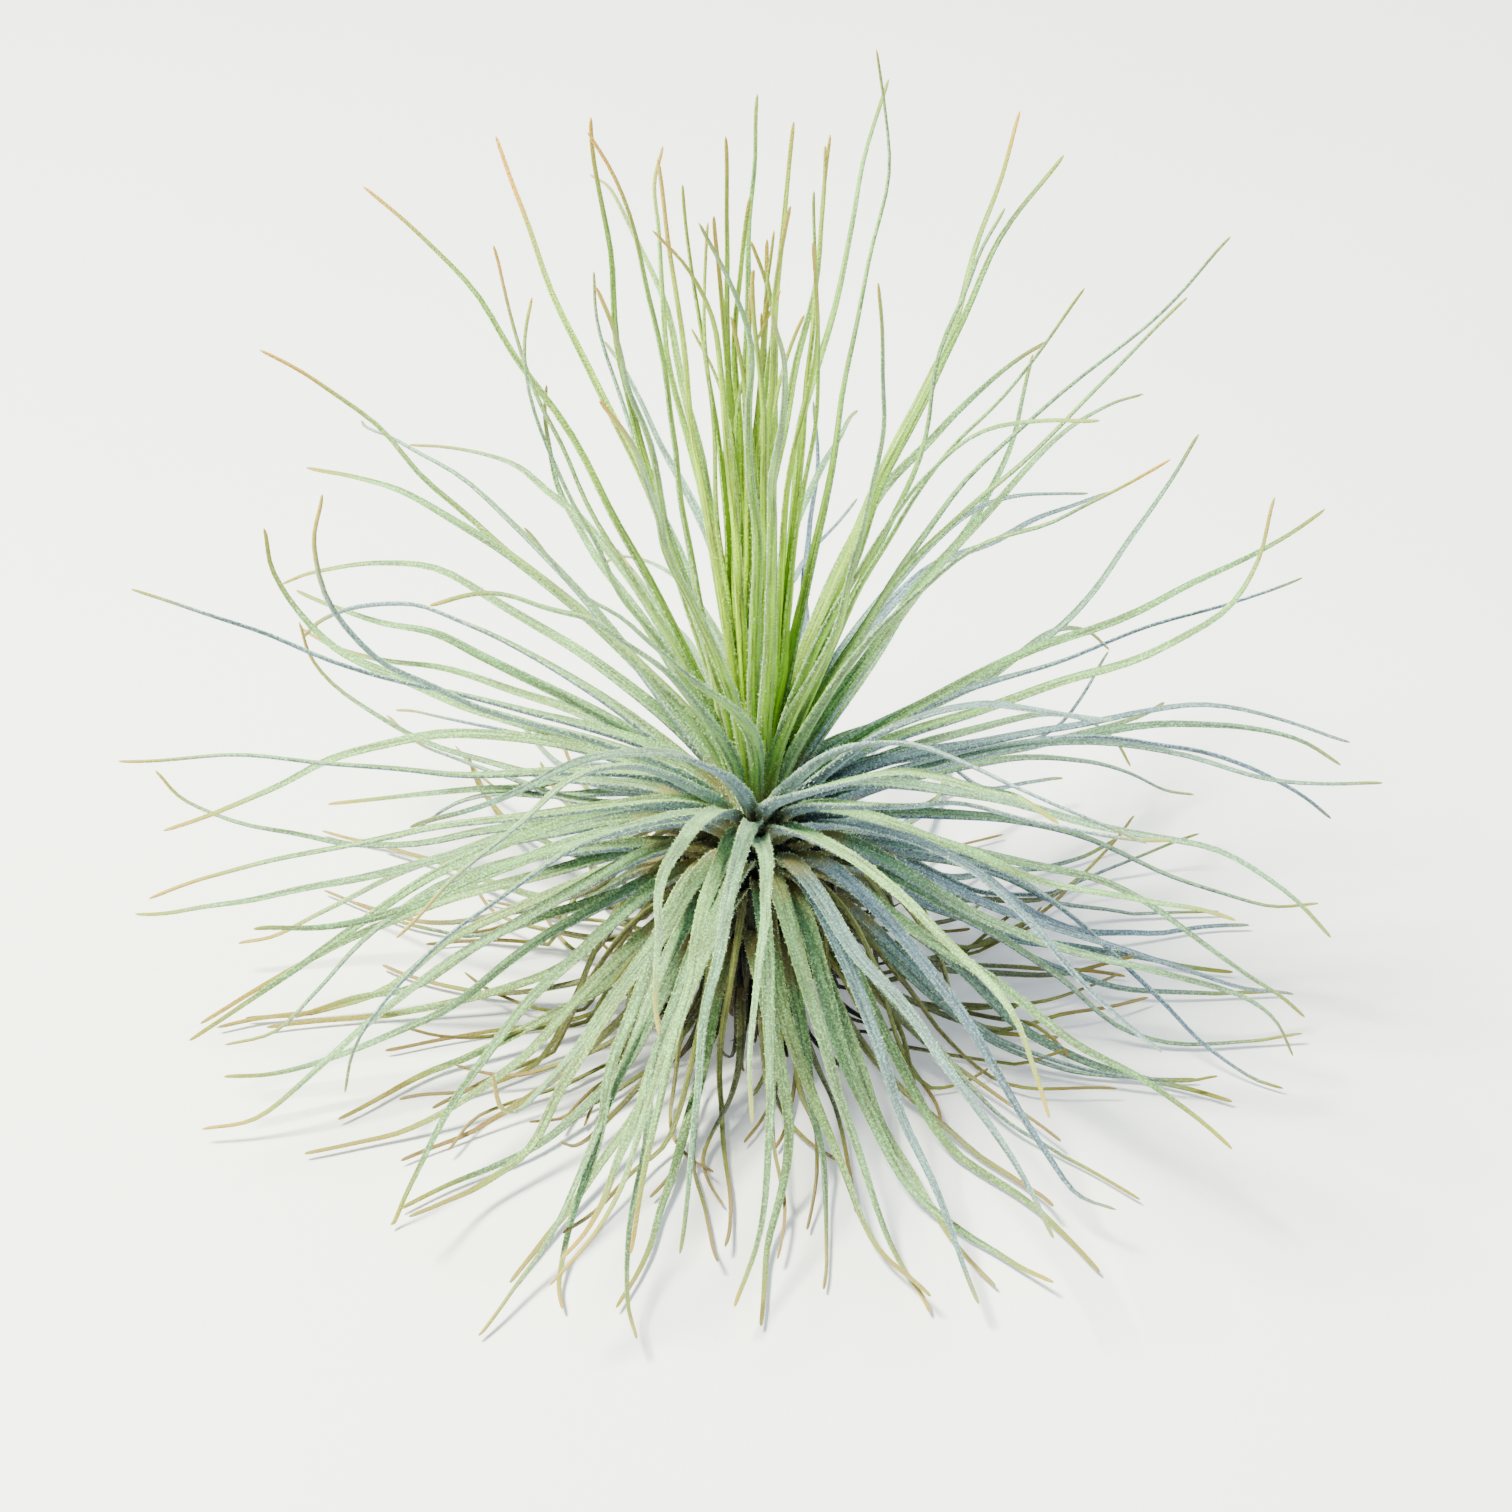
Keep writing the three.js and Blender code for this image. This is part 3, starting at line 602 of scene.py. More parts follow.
def blade_tree():
    """Sweeps a blade's section along each middle line: keeled below, channelled above, and ridged
    lengthwise. The line is made to wobble a little first, and is held above the surface."""
    tree, plan, given, keys = new_tree("Leaf blades", {
        "Steps": 1, "Sides": 1, "Ridges": 0.0, "Ridge height": 0.0, "Wobble": 0.0,
        "Wobble scale": 0.0, "Leaf share": 0.0, "Skin": ""})
    lines = plan.add("GeometryNodeMeshToCurve", {0: given["Geometry"]}).outputs[0]
    curved = plan.add("GeometryNodeCurveSplineType", {0: lines}, spline_type="CATMULL_ROM")
    fine = plan.add("GeometryNodeSetSplineResolution", {
        0: curved.outputs[0], "Resolution": given["Steps"]})
    rail = plan.add("GeometryNodeResampleCurve", {0: fine.outputs[0]}, mode="EVALUATED").outputs[0]

    share = named(plan, "share")
    here = plan.add("GeometryNodeInputPosition").outputs[0]
    apart = plan.xyz(z=plan.times(named(plan, "order"), WOBBLES_APART))
    noise = plan.add("ShaderNodeTexNoise", {
        "Vector": plan.vector("ADD", here, apart), "Scale": given["Wobble scale"], "Detail": 1.0})
    swing = plan.vector("SUBTRACT", noise.outputs["Color"], (0.5, 0.5, 0.5))
    far = plan.times(given["Wobble"], plan.ramp(share, *WOBBLE_GROWS))
    swing = plan.vector("SCALE", swing, far)
    swung = plan.vector("ADD", here, swing)
    height = plan.add("ShaderNodeSeparateXYZ", {0: swung}).outputs[2]
    below = plan.math("SUBTRACT", CLEARANCE * MM, height)
    lift = plan.xyz(z=plan.math("MAXIMUM", below, 0.0))
    rail = stored(plan, rail, "centre", plan.vector("ADD", swung, lift), "FLOAT_VECTOR")

    edge_line = plan.add("GeometryNodeCurvePrimitiveLine", {"Start": (0, 0, 0), "End": (MM, 0, 0)})
    points = plan.math("ADD", given["Sides"], 1.0)
    section = plan.add("GeometryNodeResampleCurve", {0: edge_line.outputs[0], "Count": points},
                       mode="COUNT").outputs[0]
    factor = plan.add("GeometryNodeSplineParameter").outputs["Factor"]
    section = stored(plan, section, "around", factor)
    swept = plan.add("GeometryNodeCurveToMesh", {
        "Curve": rail, "Profile Curve": section}).outputs[0]

    turn = plan.times(named(plan, "around"), 2 * math.pi)
    turn = plan.times_plus(plan.math("SINE", plan.times(turn, 2.0)), SIDE_SPREAD, turn)
    cross, side = plan.math("COSINE", turn), plan.math("SINE", turn)
    inside = plan.math("SUBTRACT", 1.0, plan.math("POWER", cross, FLAT_EDGE_POWER))
    ridge = plan.math("COSINE", plan.times(plan.times(cross, math.pi), given["Ridges"]))
    open_foot = plan.ramp(share, *SHEATH_OPENS)
    tall = plan.times(given["Ridge height"], plan.times(open_foot, plan.ramp(share, *RIDGES_FADE)))
    ridge = plan.times(plan.times(ridge, inside), tall)
    deep = plan.math("ADD", named(plan, "half_depth"), ridge)
    trough = plan.math("POWER", plan.math("ABSOLUTE", cross), TROUGH_POWER)
    rise = plan.times_plus(side, deep, plan.times(named(plan, "cup"), trough))
    wide = plan.times(cross, named(plan, "half_width"))
    point = named(plan, "centre", "FLOAT_VECTOR")
    for direction, reach in (("across", wide), ("rise", rise)):
        way = plan.vector("NORMALIZE", named(plan, direction, "FLOAT_VECTOR"))
        point = plan.vector("ADD", point, plan.vector("SCALE", way, reach))
    blade = stored(plan, swept, "cross", cross)
    blade = stored(plan, blade, "side", side)
    lengthwise = plan.vector("ADD", named(plan, "over", "FLOAT_VECTOR"), plan.xyz(wide))
    blade = stored(plan, blade, "over", lengthwise, "FLOAT_VECTOR")
    blade = plan.add("GeometryNodeSetPosition", {0: blade, "Position": point}).outputs[0]

    strip = plan.times_plus(
        named(plan, "around"), plan.times(given["Leaf share"], STRIP_FILL), named(plan, "order"))
    up_strip = plan.times_plus(share, STRIP_HEIGHT, STRIP_FOOT)
    blade = stored(plan, blade, "OFBake", plan.xyz(strip, up_strip), "FLOAT2", "CORNER")
    blade = plan.add("GeometryNodeMergeByDistance", {0: blade, "Distance": WELD * MM}).outputs[0]
    blade = plan.add("GeometryNodeSetShadeSmooth", {0: blade}).outputs[0]
    finish_tree(plan, blade, given["Skin"])
    return tree, keys


BLADE_TREE, BLADE_KEYS = blade_tree()

# The scurf: every leaf is covered in small, dry, silvery scales, which take up its water. They
# stand out from the skin, most of all along its edges and round its foot, and get smaller towards
# the tip.
SCURF_EDGE, SCURF_FOOT, SCURF_SHEATH = (0.8, 0.97), (0.12, 0.0), (FOOT_SHARE, -0.01)
SCURF_SCATTER, SCURF_STAND = 0.55, 0.75
SCURF_SINK = -0.12  # how far a scale is sunk into the skin, as a share of its length
SCURF_SIZES, SCURF_SIZE_SEED = (0.55, 1.25), 9.0
SCURF_SHRINKS = (0.2, 1.0, 1.0, 0.6)
SCURF_LENGTH, SCURF_WIDTH = 0.5, 0.2
SCURF_TINT_DENSITY, SCURF_TINTS, SCURF_DULLS = 900.0, (0.35, 0.65), (0.3, 0.7, 0.7, 0.9)


def scurf_tree():
    """Sows small pointed scales over the blades, thickly on their edges, each standing out at a
    random slant.
    """
    tree, plan, given, keys = new_tree("Leaf scurf", {
        "Edge density": 0.0, "Face density": 0.0, "Foot density": 0.0, "Scale length": 0.0,
        "Scale width": 0.0, "Stand": 0.0, "Seed": 1, "Scurf": ""})
    share, cross = named(plan, "share"), named(plan, "cross")
    at_edge = plan.ramp(plan.math("ABSOLUTE", cross), *SCURF_EDGE)
    at_foot = plan.ramp(share, *SCURF_FOOT)
    density = plan.times_plus(at_edge, given["Edge density"], given["Face density"])
    density = plan.times_plus(at_foot, given["Foot density"], density)
    density = plan.times(density, plan.ramp(share, *SCURF_SHEATH))
    spots = plan.add("GeometryNodeDistributePointsOnFaces", {
        0: given["Geometry"], "Density": density, "Seed": given["Seed"]},
        distribute_method="RANDOM")
    jitter = plan.add("FunctionNodeRandomValue", {
        "Min": (-1, -1, -1), "Max": (1, 1, 1), "Seed": given["Seed"]},
        data_type="FLOAT_VECTOR").outputs[0]
    out = plan.vector("SCALE", spots.outputs["Normal"], given["Stand"])
    lean = plan.vector("ADD", plan.vector("SCALE", jitter, SCURF_SCATTER), out)
    facing = plan.add("FunctionNodeAlignRotationToVector", {"Vector": lean}, axis="Z")
    grown_scale = plan.add("GeometryNodeMeshCone", {
        "Vertices": 3, "Side Segments": 1, "Radius Bottom": 0.5, "Radius Top": 0.0, "Depth": 1.0})
    sunk = plan.add("GeometryNodeTransform", {
        0: grown_scale.outputs["Mesh"], "Translation": (0.0, 0.0, SCURF_SINK)})
    size = plan.add("FunctionNodeRandomValue", {
        2: SCURF_SIZES[0], 3: SCURF_SIZES[1],
        "Seed": plan.math("ADD", given["Seed"], SCURF_SIZE_SEED)}, data_type="FLOAT").outputs[1]
    size = plan.times(size, plan.ramp(share, *SCURF_SHRINKS))
    shape = plan.xyz(given["Scale width"], given["Scale width"], given["Scale length"])
    scales = plan.add("GeometryNodeInstanceOnPoints", {
        "Points": spots.outputs["Points"], "Instance": sunk.outputs[0],
        "Rotation": facing.outputs[0], "Scale": plan.vector("SCALE", shape, size)})
    finish_tree(plan, scales.outputs[0], given["Scurf"])
    return tree, keys


def scurf_finish(name, pale, edge):
    """Dry, silvery scales that catch the light."""
    material, plan, surface = new_finish(name)
    place = plan.add("ShaderNodeTexCoord").outputs["Object"]
    vary = plan.noise(place, SCURF_TINT_DENSITY, 2.0)
    colour = plan.mix(plan.ramp(vary, *SCURF_TINTS), linear(edge), linear(pale))
    plan.put(surface, {"Base Color": colour, "Roughness": plan.ramp(vary, *SCURF_DULLS),
                       "Sheen Weight": 0.2})
    return material


SCURF_TREE, SCURF_KEYS = scurf_tree()

# The skin: live green tissue, streaked lengthwise by its veins, which shows between the grains of
# the scurf. It is bluer below, partly its own silvery underside and partly painted shade, and its
# leaves on the shaded side are bluer and greyer as painted shade. Its flanks are darker as painted
# shade, its thin edges are pale, partly with scurf and partly as a painted highlight, the leaves on
# the lit side are yellower as painted light, and it dries to olive and then tan at the tip. Each
# pair is where a mark begins and ends.
STREAK_DENSITY = (1500.0, 60.0, 40.0)  # across a leaf, along it, and from leaf to leaf
BLOTCH_DENSITY, GRAIN_DENSITY, SPECKLE_DENSITY = 130.0, 2000.0, 1500.0  # in a metre
VEINS, VEIN_SHARE = 3, 0.05
DARK_TO_PALE_STREAK = (0.28, 0.72)
# The underside colours are partly the leaf's own silvery underside and partly painted shade.
UPPER_TO_UNDERSIDE, SHADED_TONES = (0.15, -0.25), (-0.05, -0.8)
YOUTH_FADES = (0.3, 0.95, 1.0, 0.4)  # along a leaf
# Painted shade on the leaves' flanks, and painted light on the lit side's leaves.
PAINTED_FLANK_SHADE, LIT_TONES = (0.4, 0.88, 0.0, 0.42), (0.45, 1.0)
GRAIN_EDGE, COVER_SPECKLES = (0.64, 0.3), (0.38, 0.62, 0.35, 1.0)
COVER_STREAKS, COVER_YOUTH = (0.36, 0.6, 0.5, 1.0), (0.2, 1.0, 1.0, 0.35)
COVER_BLOTCHES, THIN_COVER, THICK_COVER = (0.3, 0.7), 0.7, 1.1
# The pale rim is partly scurf along the edges and partly a painted highlight.
RIM_AND_HIGHLIGHT, RIM_SPECKLES = (0.84, 1.0), (0.35, 0.65, 0.1, 0.8)
FOOT_FADE, FOOT_FULL = 0.35, -0.03
TONE_WITHERS, BLOTCH_WITHERS = 0.09, 0.06  # how far a tone or a blotch shifts the withering
OLIVE_LENGTH, TIP_LENGTHS = 0.14, (0.1, 0.2)  # of the withering tip, as shares of a leaf
TONE_HUE, TONE_SATURATION, TONE_VALUE = (-0.011, 0.5), (-0.02, 1.03), (0.08, 1.0)
BARE_TO_COVERED_ROUGHNESS = (0.0, 0.8, 0.62, 0.86)
STREAK_RELIEF, GRAIN_RELIEF, RELIEF_STRENGTH, RELIEF_DEPTH = 1.3, 0.5, 0.9, 0.22


def read(plan, name):
    return plan.add("ShaderNodeAttribute", attribute_name=name).outputs["Fac"]


def leaf_finish(name, colours, silver, tip_start, foot_end, young_end=-0.1, cool=0.85, sheen=0.2):
    """A whorl's skin: silver is the share that the scurf covers, tip_start and foot_end are shares
    of a leaf's length, young_end is the share of the whorl that is still young, and cool is how
    much bluer the painted shade makes its leaves on the shaded side."""
    material, plan, surface = new_finish(name)
    tint = {key: linear(code) for key, code in colours.items()}
    share, cross, side, tone_and_shade = (read(plan, key) for key in ("share", "cross", "side", "tone_and_shade"))
    over = plan.add("ShaderNodeAttribute", attribute_name="over").outputs["Vector"]
    place = plan.add("ShaderNodeTexCoord").outputs["Object"]
    lengthwise = plan.add("ShaderNodeMapping", {"Vector": over, "Scale": STREAK_DENSITY})
    streaks = plan.noise(lengthwise.outputs[0], 1.0, 3.0, 0.6)
    blotches = plan.noise(place, BLOTCH_DENSITY, 3.0)
    grains = plan.add("ShaderNodeTexVoronoi", {
        "Vector": place, "Scale": GRAIN_DENSITY}, feature="F1")
    grain = plan.ramp(grains.outputs["Distance"], *GRAIN_EDGE)
    speckle = plan.noise(place, SPECKLE_DENSITY, 2.0)

    veins = plan.math("COSINE", plan.times(cross, VEINS * math.pi))
    streak = plan.ramp(plan.times_plus(veins, VEIN_SHARE, streaks), *DARK_TO_PALE_STREAK)
    green = plan.mix(streak, tint["deep"], tint["face"])
    below = plan.mix(streak, tint["under_deep"], tint["under"])
    # Partly painted shade: the underside colours, bluer and darker than the leaf's own, also cover
    # the shaded side's leaves.
    shade = plan.math("MAXIMUM", plan.ramp(side, *UPPER_TO_UNDERSIDE),
                      plan.ramp(tone_and_shade, *SHADED_TONES, 0.0, cool))
    skin = plan.mix(shade, green, below)
    young = plan.mix(streak, tint["young_deep"], tint["young"])
    youth = plan.ramp(read(plan, "order"), young_end, young_end - 1.0)
    youth = plan.times(youth, plan.ramp(share, *YOUTH_FADES))
    skin = plan.mix(youth, skin, young)
    # Painted shade: the flanks, which turn away from the light, are darkened towards the deep
    # colours.
    flank_shade = plan.ramp(plan.math("ABSOLUTE", cross), *PAINTED_FLANK_SHADE)
    skin = plan.mix(flank_shade, skin, plan.mix(shade, tint["deep"], tint["under_deep"]))
    # Painted light: leaves with the highest tone, most of them on the side away from the shade,
    # take the young yellow-green.
    skin = plan.mix(plan.ramp(tone_and_shade, *LIT_TONES, 0.0, 0.2), skin, young)

    cover = plan.times(grain, plan.ramp(speckle, *COVER_SPECKLES))
    cover = plan.times(cover, plan.ramp(streaks, *COVER_STREAKS))
    cover = plan.times(cover, plan.ramp(youth, *COVER_YOUTH))
    cover = plan.times(cover, plan.ramp(
        blotches, *COVER_BLOTCHES, silver * THIN_COVER, silver * THICK_COVER))
    skin = plan.mix(cover, skin, plan.mix(shade, tint["scurf"], tint["under_scurf"]))
    # The pale rim: partly the scurf that fringes the edges, partly a painted highlight where light
    # catches them.
    rim_and_highlight = plan.times(plan.ramp(plan.math("ABSOLUTE", cross), *RIM_AND_HIGHLIGHT),
                     plan.ramp(speckle, *RIM_SPECKLES))
    skin = plan.mix(rim_and_highlight, skin, plan.mix(shade, tint["edge"], tint["under_scurf"]))

    foot = plan.math("SUBTRACT", share, plan.times(blotches, foot_end))
    skin = plan.mix(plan.ramp(foot, foot_end * FOOT_FADE, FOOT_FULL), skin, tint["foot"])
    withered = plan.times_plus(tone_and_shade, TONE_WITHERS, share)
    withered = plan.math("ADD", withered, plan.times(blotches, BLOTCH_WITHERS))
    olive = plan.ramp(withered, tip_start, tip_start + OLIVE_LENGTH)
    skin = plan.mix(olive, skin, tint["olive"])
    tan = plan.ramp(withered, *(tip_start + length for length in TIP_LENGTHS))
    skin = plan.mix(tan, skin, tint["tip"])
    # The tone, random and lowered on the shaded side as painted shade, shifts hue, saturation and
    # value.
    toned = plan.add("ShaderNodeHueSaturation", {
        "Hue": plan.times_plus(tone_and_shade, *TONE_HUE),
        "Saturation": plan.times_plus(tone_and_shade, *TONE_SATURATION),
        "Value": plan.times_plus(tone_and_shade, *TONE_VALUE), "Color": skin})
    rough = plan.ramp(cover, *BARE_TO_COVERED_ROUGHNESS)
    relief = plan.times_plus(streaks, STREAK_RELIEF, plan.times(grain, GRAIN_RELIEF))
    bump = plan.add("ShaderNodeBump", {
        "Height": relief, "Strength": RELIEF_STRENGTH, "Distance": RELIEF_DEPTH * MM})
    plan.put(surface, {"Base Color": toned.outputs[0], "Roughness": rough,
                       "Normal": bump.outputs[0], "Sheen Weight": sheen,
                       "Sheen Roughness": 0.45, "Specular IOR Level": 0.25})
    return material


RIDGES, RIDGE_HEIGHT = 3.0, 0.08  # how many lie along a blade, and how high they are, in mm
WOBBLE_DENSITY = 20.0


def dress(whorl, sheath, channel, roll, twist, finish, scurf, density, seed, wobble,
          ridge=RIDGE_HEIGHT, members=None, fineness=(4, 20), steered=None):
    """A whorl's blades and their scurf, in the place of its frame node. The sheath is its depth and
    width, channel and roll are how deep the blade's trough is near its foot and its tip, density
    is the scales on a square millimetre of edge, face and foot, and fineness is the sections from
    one station to the next and the sides of a section."""
    members = members or [leaf for leaf in leaves if leaf["whorl"] == whorl]
    rails = rails_mesh(whorl + "_rails", members, sheath, channel, roll, twist, steered or {})
    blades = grown(whorl + "_blades", rails, BLADE_TREE, BLADE_KEYS, {
        "Steps": fineness[0], "Sides": fineness[1], "Ridges": RIDGES, "Ridge height": ridge * MM,
        "Wobble": wobble * MM, "Wobble scale": WOBBLE_DENSITY, "Leaf share": 1 / len(members),
        "Skin": finish})
    at_edge, on_face, at_foot = (each * 1e6 for each in density)
    scales = grown(whorl + "_scurf", blades.data.copy(), SCURF_TREE, SCURF_KEYS, {
        "Edge density": at_edge, "Face density": on_face, "Foot density": at_foot,
        "Scale length": SCURF_LENGTH * MM, "Scale width": SCURF_WIDTH * MM,
        "Stand": SCURF_STAND, "Seed": seed, "Scurf": scurf})
    if whorl in WHORLS:
        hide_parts(whorl + "_leaves")
    for piece in (blades, scales):
        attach(piece, "root")


# The heart: 24 young leaves, still upright in one tight column at the top of the stem, lime green
# and hardly scurfed yet. The outer ones are a little paler and greyer than the inner ones.
LIME = dict(young="#baec08", young_deep="#627026", deep="#585f2e", face="#9cb44c",
            under_deep="#5c6c30", under="#9cb654", scurf="#d2ec88", under_scurf="#c8e48c",
            edge="#c4ec48", foot="#769c1e", olive="#8c903a", tip="#a8903a")
dress("heart", sheath=(3.0, 3.6), channel=0.6, roll=0.2, twist=20,
      finish=leaf_finish("Lime heart leaf", LIME, silver=0.22, tip_start=0.86, foot_end=0.05,
                         young_end=1.6, cool=0.0, sheen=0.03),
      scurf=scurf_finish("Heart scurf", "#c0e67c", "#9ed048"),
      density=(1.2, 0.15, 0.3), seed=11, wobble=7.0)

# The upper leaves: 28 leaves that stand round the heart and lean out, green on their upper faces
# and silvery below, with the longest and thinnest tips.
FRESH = dict(young="#a4d428", young_deep="#57621e", deep="#525a38", face="#88ac5c",
             under_deep="#3d484a", under="#72927f", scurf="#b6f084", under_scurf="#a8d2a8",
             edge="#aee450", foot="#7e8a48", olive="#8a9038", tip="#bc9430")
dress("upper", sheath=(7.0, 6.4), channel=0.75, roll=0.25, twist=45,
      finish=leaf_finish("Fresh green leaf", FRESH, silver=0.55, tip_start=0.86, foot_end=0.07,
                         young_end=1.35, cool=0.6),
      scurf=scurf_finish("Upper scurf", "#ccebac", "#a8d074"),
      density=(2.2, 0.26, 0.7), seed=12, wobble=12.0, steered={21: -24})

# The middle leaves: 50 full-grown leaves that rise from the crown and arch over on every side, sage
# green under a thick silvery scurf, with fuzzy, toothed-looking edges and tan, matted feet.
SAGE = dict(young="#88b43a", young_deep="#4e5a2a", deep="#4e543a", face="#78a864",
            under_deep="#3a434d", under="#667f90", scurf="#b0f09a", under_scurf="#9fbfcc",
            edge="#b0e258", foot="#84824a", olive="#84883a", tip="#a08c3a")
sage_finish = leaf_finish("Sage green leaf", SAGE, silver=0.66, tip_start=0.88, foot_end=0.13,
                          young_end=0.3)
sage_scurf = scurf_finish("Sage scurf", "#d4eed4", "#bae090")
dress("middle", sheath=(7.5, 7.0), channel=0.85, roll=0.3, twist=60,
      finish=sage_finish, scurf=sage_scurf, density=(2.0, 0.24, 0.6), seed=13, wobble=10.0,
      steered={14: 26, 6: -16})

# The outer leaves: 46 full-grown leaves lower on the stem, which bend straight over and hang. They
# are as thick and scurfy as the middle ones but more weathered, and their feet clasp the stem just
# below the middle ones'.
WEATHERED = dict(SAGE, deep="#4c5039", face="#739e66", under_deep="#373f4a", under="#627990",
                 scurf="#aeea9a", under_scurf="#97b6ca", edge="#a8d858", foot="#8a8046")
dress("outer", sheath=(7.0, 7.0), channel=0.85, roll=0.3, twist=60,
      finish=leaf_finish("Weathered sage leaf", WEATHERED, silver=0.66, tip_start=0.86,
                         foot_end=0.22),
      scurf=sage_scurf, density=(2.0, 0.24, 0.8), seed=14, wobble=11.0)

# The lower leaves: the 34 oldest green leaves, duller and browning from their tips, which trail on
# the surface. Their matted feet clasp the stem below the outer ones'.
DULL = dict(young="#76a04c", young_deep="#4a5230", deep="#4e5238", face="#72985c",
            under_deep="#3e464a", under="#6a8684", scurf="#b6e68a", under_scurf="#9cbeae",
            edge="#a6d054", foot="#807646", olive="#7a8238", tip="#887e38")
dress("lower", sheath=(6.5, 7.0), channel=0.75, roll=0.3, twist=70,
      finish=leaf_finish("Old grey-green leaf", DULL, silver=0.7, tip_start=0.78, foot_end=0.28),
      scurf=scurf_finish("Old scurf", "#d4e0c4", "#b0c484"),
      density=(1.7, 0.2, 0.8), seed=15, wobble=11.0, fineness=(4, 16))

# The withered leaves: 22 thin, dry, curling leaves under the rosette, tan and olive. They are
# papery, and still hang by their dried sheaths from the stem.
DRY = dict(young="#93965a", young_deep="#585a30", deep="#50502c", face="#8b8c54",
           under_deep="#4a4a2e", under="#767a50", scurf="#b4b68c", under_scurf="#a2a888",
           edge="#a4a668", foot="#6a5c36", olive="#82803c", tip="#8a7640")
dress("dry", sheath=(5.5, 6.4), channel=0.5, roll=0.4, twist=150,
      finish=leaf_finish("Withered leaf", DRY, silver=0.35, tip_start=0.66, foot_end=0.3),
      scurf=scurf_finish("Withered scurf", "#cdc6a0", "#a39a66"),
      density=(1.3, 0.25, 0.6), seed=16, wobble=9.0, ridge=0.12, fineness=(3, 16))

# The skirt: 90 short leaves that died long ago, dark brown and papery, and darkened further, to
# near-black olive, as painted shade under the rosette. They hang against the stem where they grew,
# from above the withered leaves down to its foot, and hide it.
DEAD_AZIMUTH, DEAD_STRAY = 60, 20  # where the first grows and how far each strays, in degrees
DEAD_SHORTEST, DEAD_LONGER = 0.7, 0.6
FALLEN_BY, CURL_POWER = 0.5, 3  # the share of a leaf by which it has bent down, and how it curls
RESTING_TILTS, RESTING_HEIGHT = (92, 175), 12  # flat on the surface, and free of it from there up
DEAD_TAPER = 0.9


def grow_dead(whorl, count, seed, heights, lengths, widths, starts, falls, curls, swerves):
    """Dead leaves that bend out from the stem, hang, and come to rest above the surface."""
    lots, members = chances(seed), []
    for number in range(count):
        share = (number + 0.5) / count
        height = between(heights, share)
        azimuth = DEAD_AZIMUTH + GOLDEN_ANGLE * number + DEAD_STRAY * (next(lots) - 0.5)
        root_radius = frame_radius(height) + ROOT_OUT
        length = between(lengths, share) * (DEAD_SHORTEST + DEAD_LONGER * next(lots))
        start, fall = between(starts, next(lots)), between(falls, next(lots))
        swerve, curl = swerves * (next(lots) - 0.5), between(curls, next(lots))
        points = [toward(90, azimuth) * root_radius + [0, 0, height]]
        for before, after in zip(STATIONS, STATIONS[1:]):
            at = (before + after) / 2
            tilt = start + fall * smooth(at / FALLEN_BY) + curl * at ** CURL_POWER
            steepest = between(RESTING_TILTS, smooth(points[-1][2] / RESTING_HEIGHT))
            way = toward(min(tilt, steepest), azimuth + swerve * at ** 2)
            points.append(points[-1] + way * length * (after - before))
            points[-1][2] = max(points[-1][2], CLEARANCE)
        members.append({"whorl": whorl, "height": height, "azimuth": azimuth, "length": length,
                        "root_radius": root_radius, "width": between(widths, next(lots)),
                        "taper": DEAD_TAPER, "points": np.array(points)})
    points = np.stack([leaf["points"] for leaf in members])
    spread = np.array([leaf["azimuth"] for leaf in members])
    for leaf, *found in zip(members, *carry_frames(points, spread)):
        leaf["across"], leaf["up"] = found[1:]
    return members


# Painted shade: these dead leaves' colours are near black, for the shade under the rosette.
DEAD_AND_SHADED = dict(young="#30341e", young_deep="#12140a", deep="#14160c", face="#363a22",
            under_deep="#12140c", under="#2a2c1a", scurf="#54563a", under_scurf="#484a34",
            edge="#43462c", foot="#14110a", olive="#3c3820", tip="#4c4228")
dress("skirt", sheath=(4.0, 5.0), channel=0.5, roll=0.4, twist=160,
      finish=leaf_finish("Dead leaf in painted shade", DEAD_AND_SHADED, silver=0.2, tip_start=0.75, foot_end=0.5),
      scurf=scurf_finish("Dead scurf in painted shade", "#565438", "#34321e"),
      density=(0.4, 0.1, 0.3), seed=17, wobble=3.0, ridge=0.0, fineness=(2, 8),
      members=grow_dead("skirt", count=90, seed=23, heights=(47, 9), lengths=(34, 22),
                        widths=(2.0, 3.4), starts=(100, 120), falls=(50, 80), curls=(-72, 48),
                        swerves=80))

# The threads: 56 long dead leaves that have shrunk to curling threads, 1 to 2 mm wide, olive
# turning brown. They hang among the skirt and grow from the stem as it does.
THREAD = dict(young="#8f9a40", young_deep="#4c5422", deep="#505628", face="#8c9448",
              under_deep="#464424", under="#7a7642", scurf="#aea874", under_scurf="#9c9666",
              edge="#a0a04e", foot="#463e22", olive="#7e7e34", tip="#7c6c38")
dress("threads", sheath=(3.0, 3.0), channel=0.5, roll=0.6, twist=200,
      finish=leaf_finish("Thread leaf", THREAD, silver=0.3, tip_start=0.72, foot_end=0.2),
      scurf=scurf_finish("Thread scurf", "#b0a878", "#8c8450"),
      density=(0.5, 0.15, 0.4), seed=18, wobble=16.0, ridge=0.0, fineness=(3, 8),
      members=grow_dead("threads", count=56, seed=37, heights=(48, 18), lengths=(86, 60),
                        widths=(1.1, 1.9), starts=(98, 122), falls=(34, 64), curls=(-100, 0),
                        swerves=130))

# The stage: a plain pale floor under soft studio light. The brightest light hangs at the upper
# left, a wide bluish one far to the right lightens the shadows, and a gentle one stands behind,
# all under a pale sky. The floor itself glows, a painted light that is dim near the plant and
# brighter far from it.
FLOOR_HALF, FLOOR_CLOUDS = 12.0, 6.0
# Painted light: the floor glows, though it is no lamp.
FLOOR_GLOW = (0.6, 3.0, 0.25, 0.85)  # from 0.25 within 0.6 m of the plant to 0.85 at 3 m


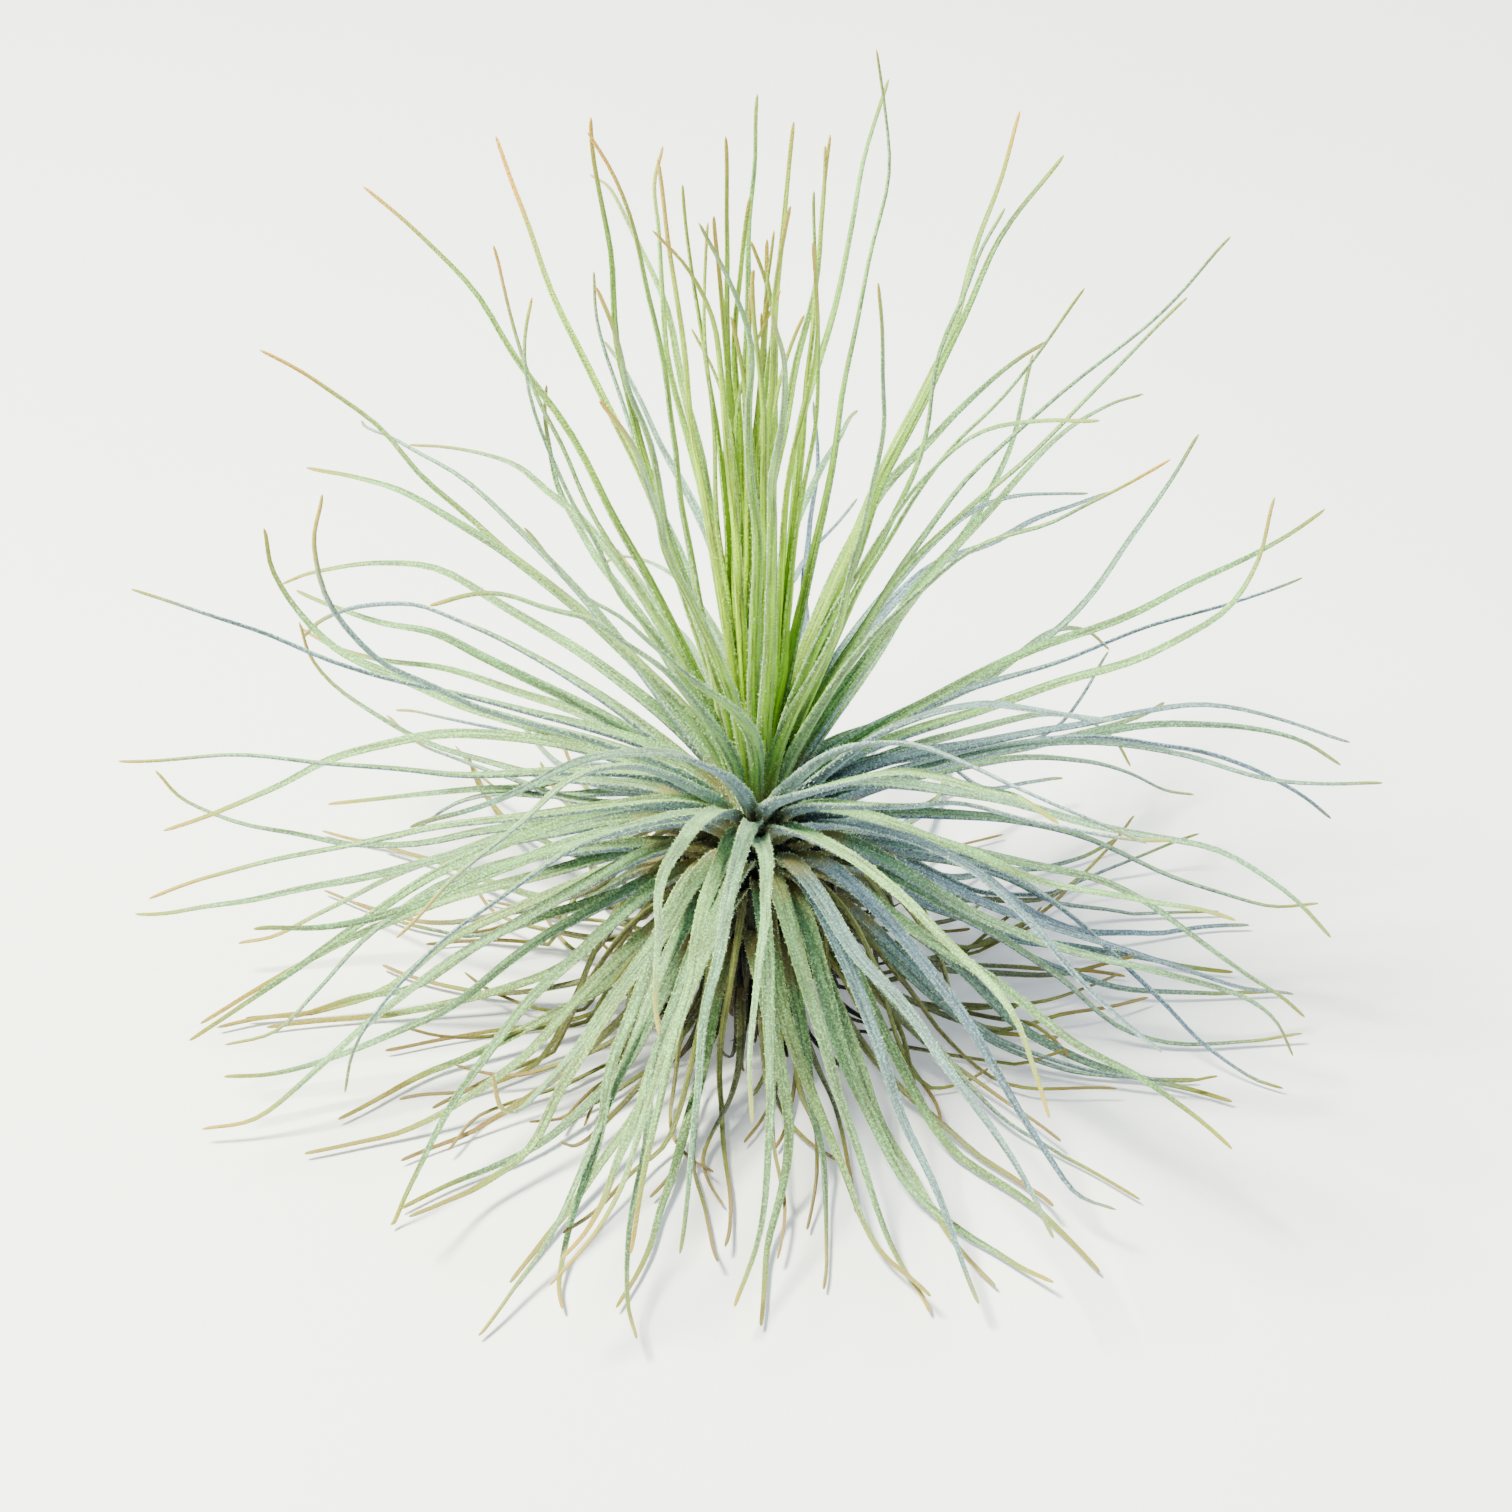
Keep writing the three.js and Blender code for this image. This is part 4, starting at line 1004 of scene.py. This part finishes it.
def floor_finish():
    material, plan, surface = new_finish("Pale floor")
    place = plan.add("ShaderNodeTexCoord").outputs["Object"]
    cloud = plan.noise(place, FLOOR_CLOUDS, 3.0)
    plan.put(surface, {"Base Color": plan.mix(cloud, linear("#e9e9e6"), linear("#efefed")),
                       "Roughness": 0.85, "Emission Color": linear("#f6f5f2")})
    far = plan.vector("LENGTH", place)
    plan.put(surface, {"Emission Strength": plan.ramp(far, *FLOOR_GLOW)})
    return material


floor_mesh = bpy.data.meshes.new("floor")
corners = [(x * FLOOR_HALF, y * FLOOR_HALF, 0) for x, y in ((-1, -1), (1, -1), (1, 1), (-1, 1))]
floor_mesh.from_pydata(corners, [], [(0, 1, 2, 3)])
floor_mesh.materials.append(floor_finish())
floor = placed("floor", floor_mesh)


def soft_light(name, place, target, width, power, colour):
    """A square light that faces a point."""
    lamp = bpy.data.lights.new(name, "AREA")
    lamp.size, lamp.energy, lamp.color = width, power, colour
    light = placed(name, lamp)
    light.location = place
    way = np.array(target) - np.array(place)
    light.rotation_euler = (math.acos(-way[2] / math.sqrt((way ** 2).sum())), 0,
                            math.atan2(way[1], way[0]) - math.pi / 2)


soft_light("key_light", place=(-0.6, -0.12, 1.3), target=(0, 0, 0.08), width=0.34, power=119.0,
           colour=(0.97, 1.0, 0.8))
soft_light("fill_light", place=(3.3, -0.3, 1.34), target=(0, 0, 0.08), width=3.0, power=135.0,
           colour=(0.56, 0.74, 1.0))
soft_light("back_light", place=(0.35, 1.1, 0.9), target=(0, 0, 0.1), width=0.6, power=6.0,
           colour=(1.0, 1.0, 0.92))
SKY_COLOUR, SKY_STRENGTH = (0.66, 0.78, 0.98, 1.0), 0.62
world = bpy.data.worlds.new("studio")
world.use_nodes = True
sky = world.node_tree.nodes["Background"]
sky.inputs["Color"].default_value = SKY_COLOUR
sky.inputs["Strength"].default_value = SKY_STRENGTH
bpy.context.scene.world = world

# The camera: it stands 0.9 m in front of the plant and looks down on it from 33 degrees above the
# surface. Its long lens keeps the near leaves from looming over the far ones.
CAMERA_ELEVATION = math.radians(33)
CAMERA_DISTANCE = 0.9
CAMERA_TARGET = (0.0, 0.0, 0.0615)
CAMERA_LENS = 107.3
camera = placed("camera", bpy.data.cameras.new("camera"))
camera.data.lens = CAMERA_LENS
camera.location = (0.0, -CAMERA_DISTANCE * math.cos(CAMERA_ELEVATION),
                   CAMERA_TARGET[2] + CAMERA_DISTANCE * math.sin(CAMERA_ELEVATION))
camera.rotation_euler = (math.pi / 2 - CAMERA_ELEVATION, 0.0, 0.0)
bpy.context.scene.camera = camera
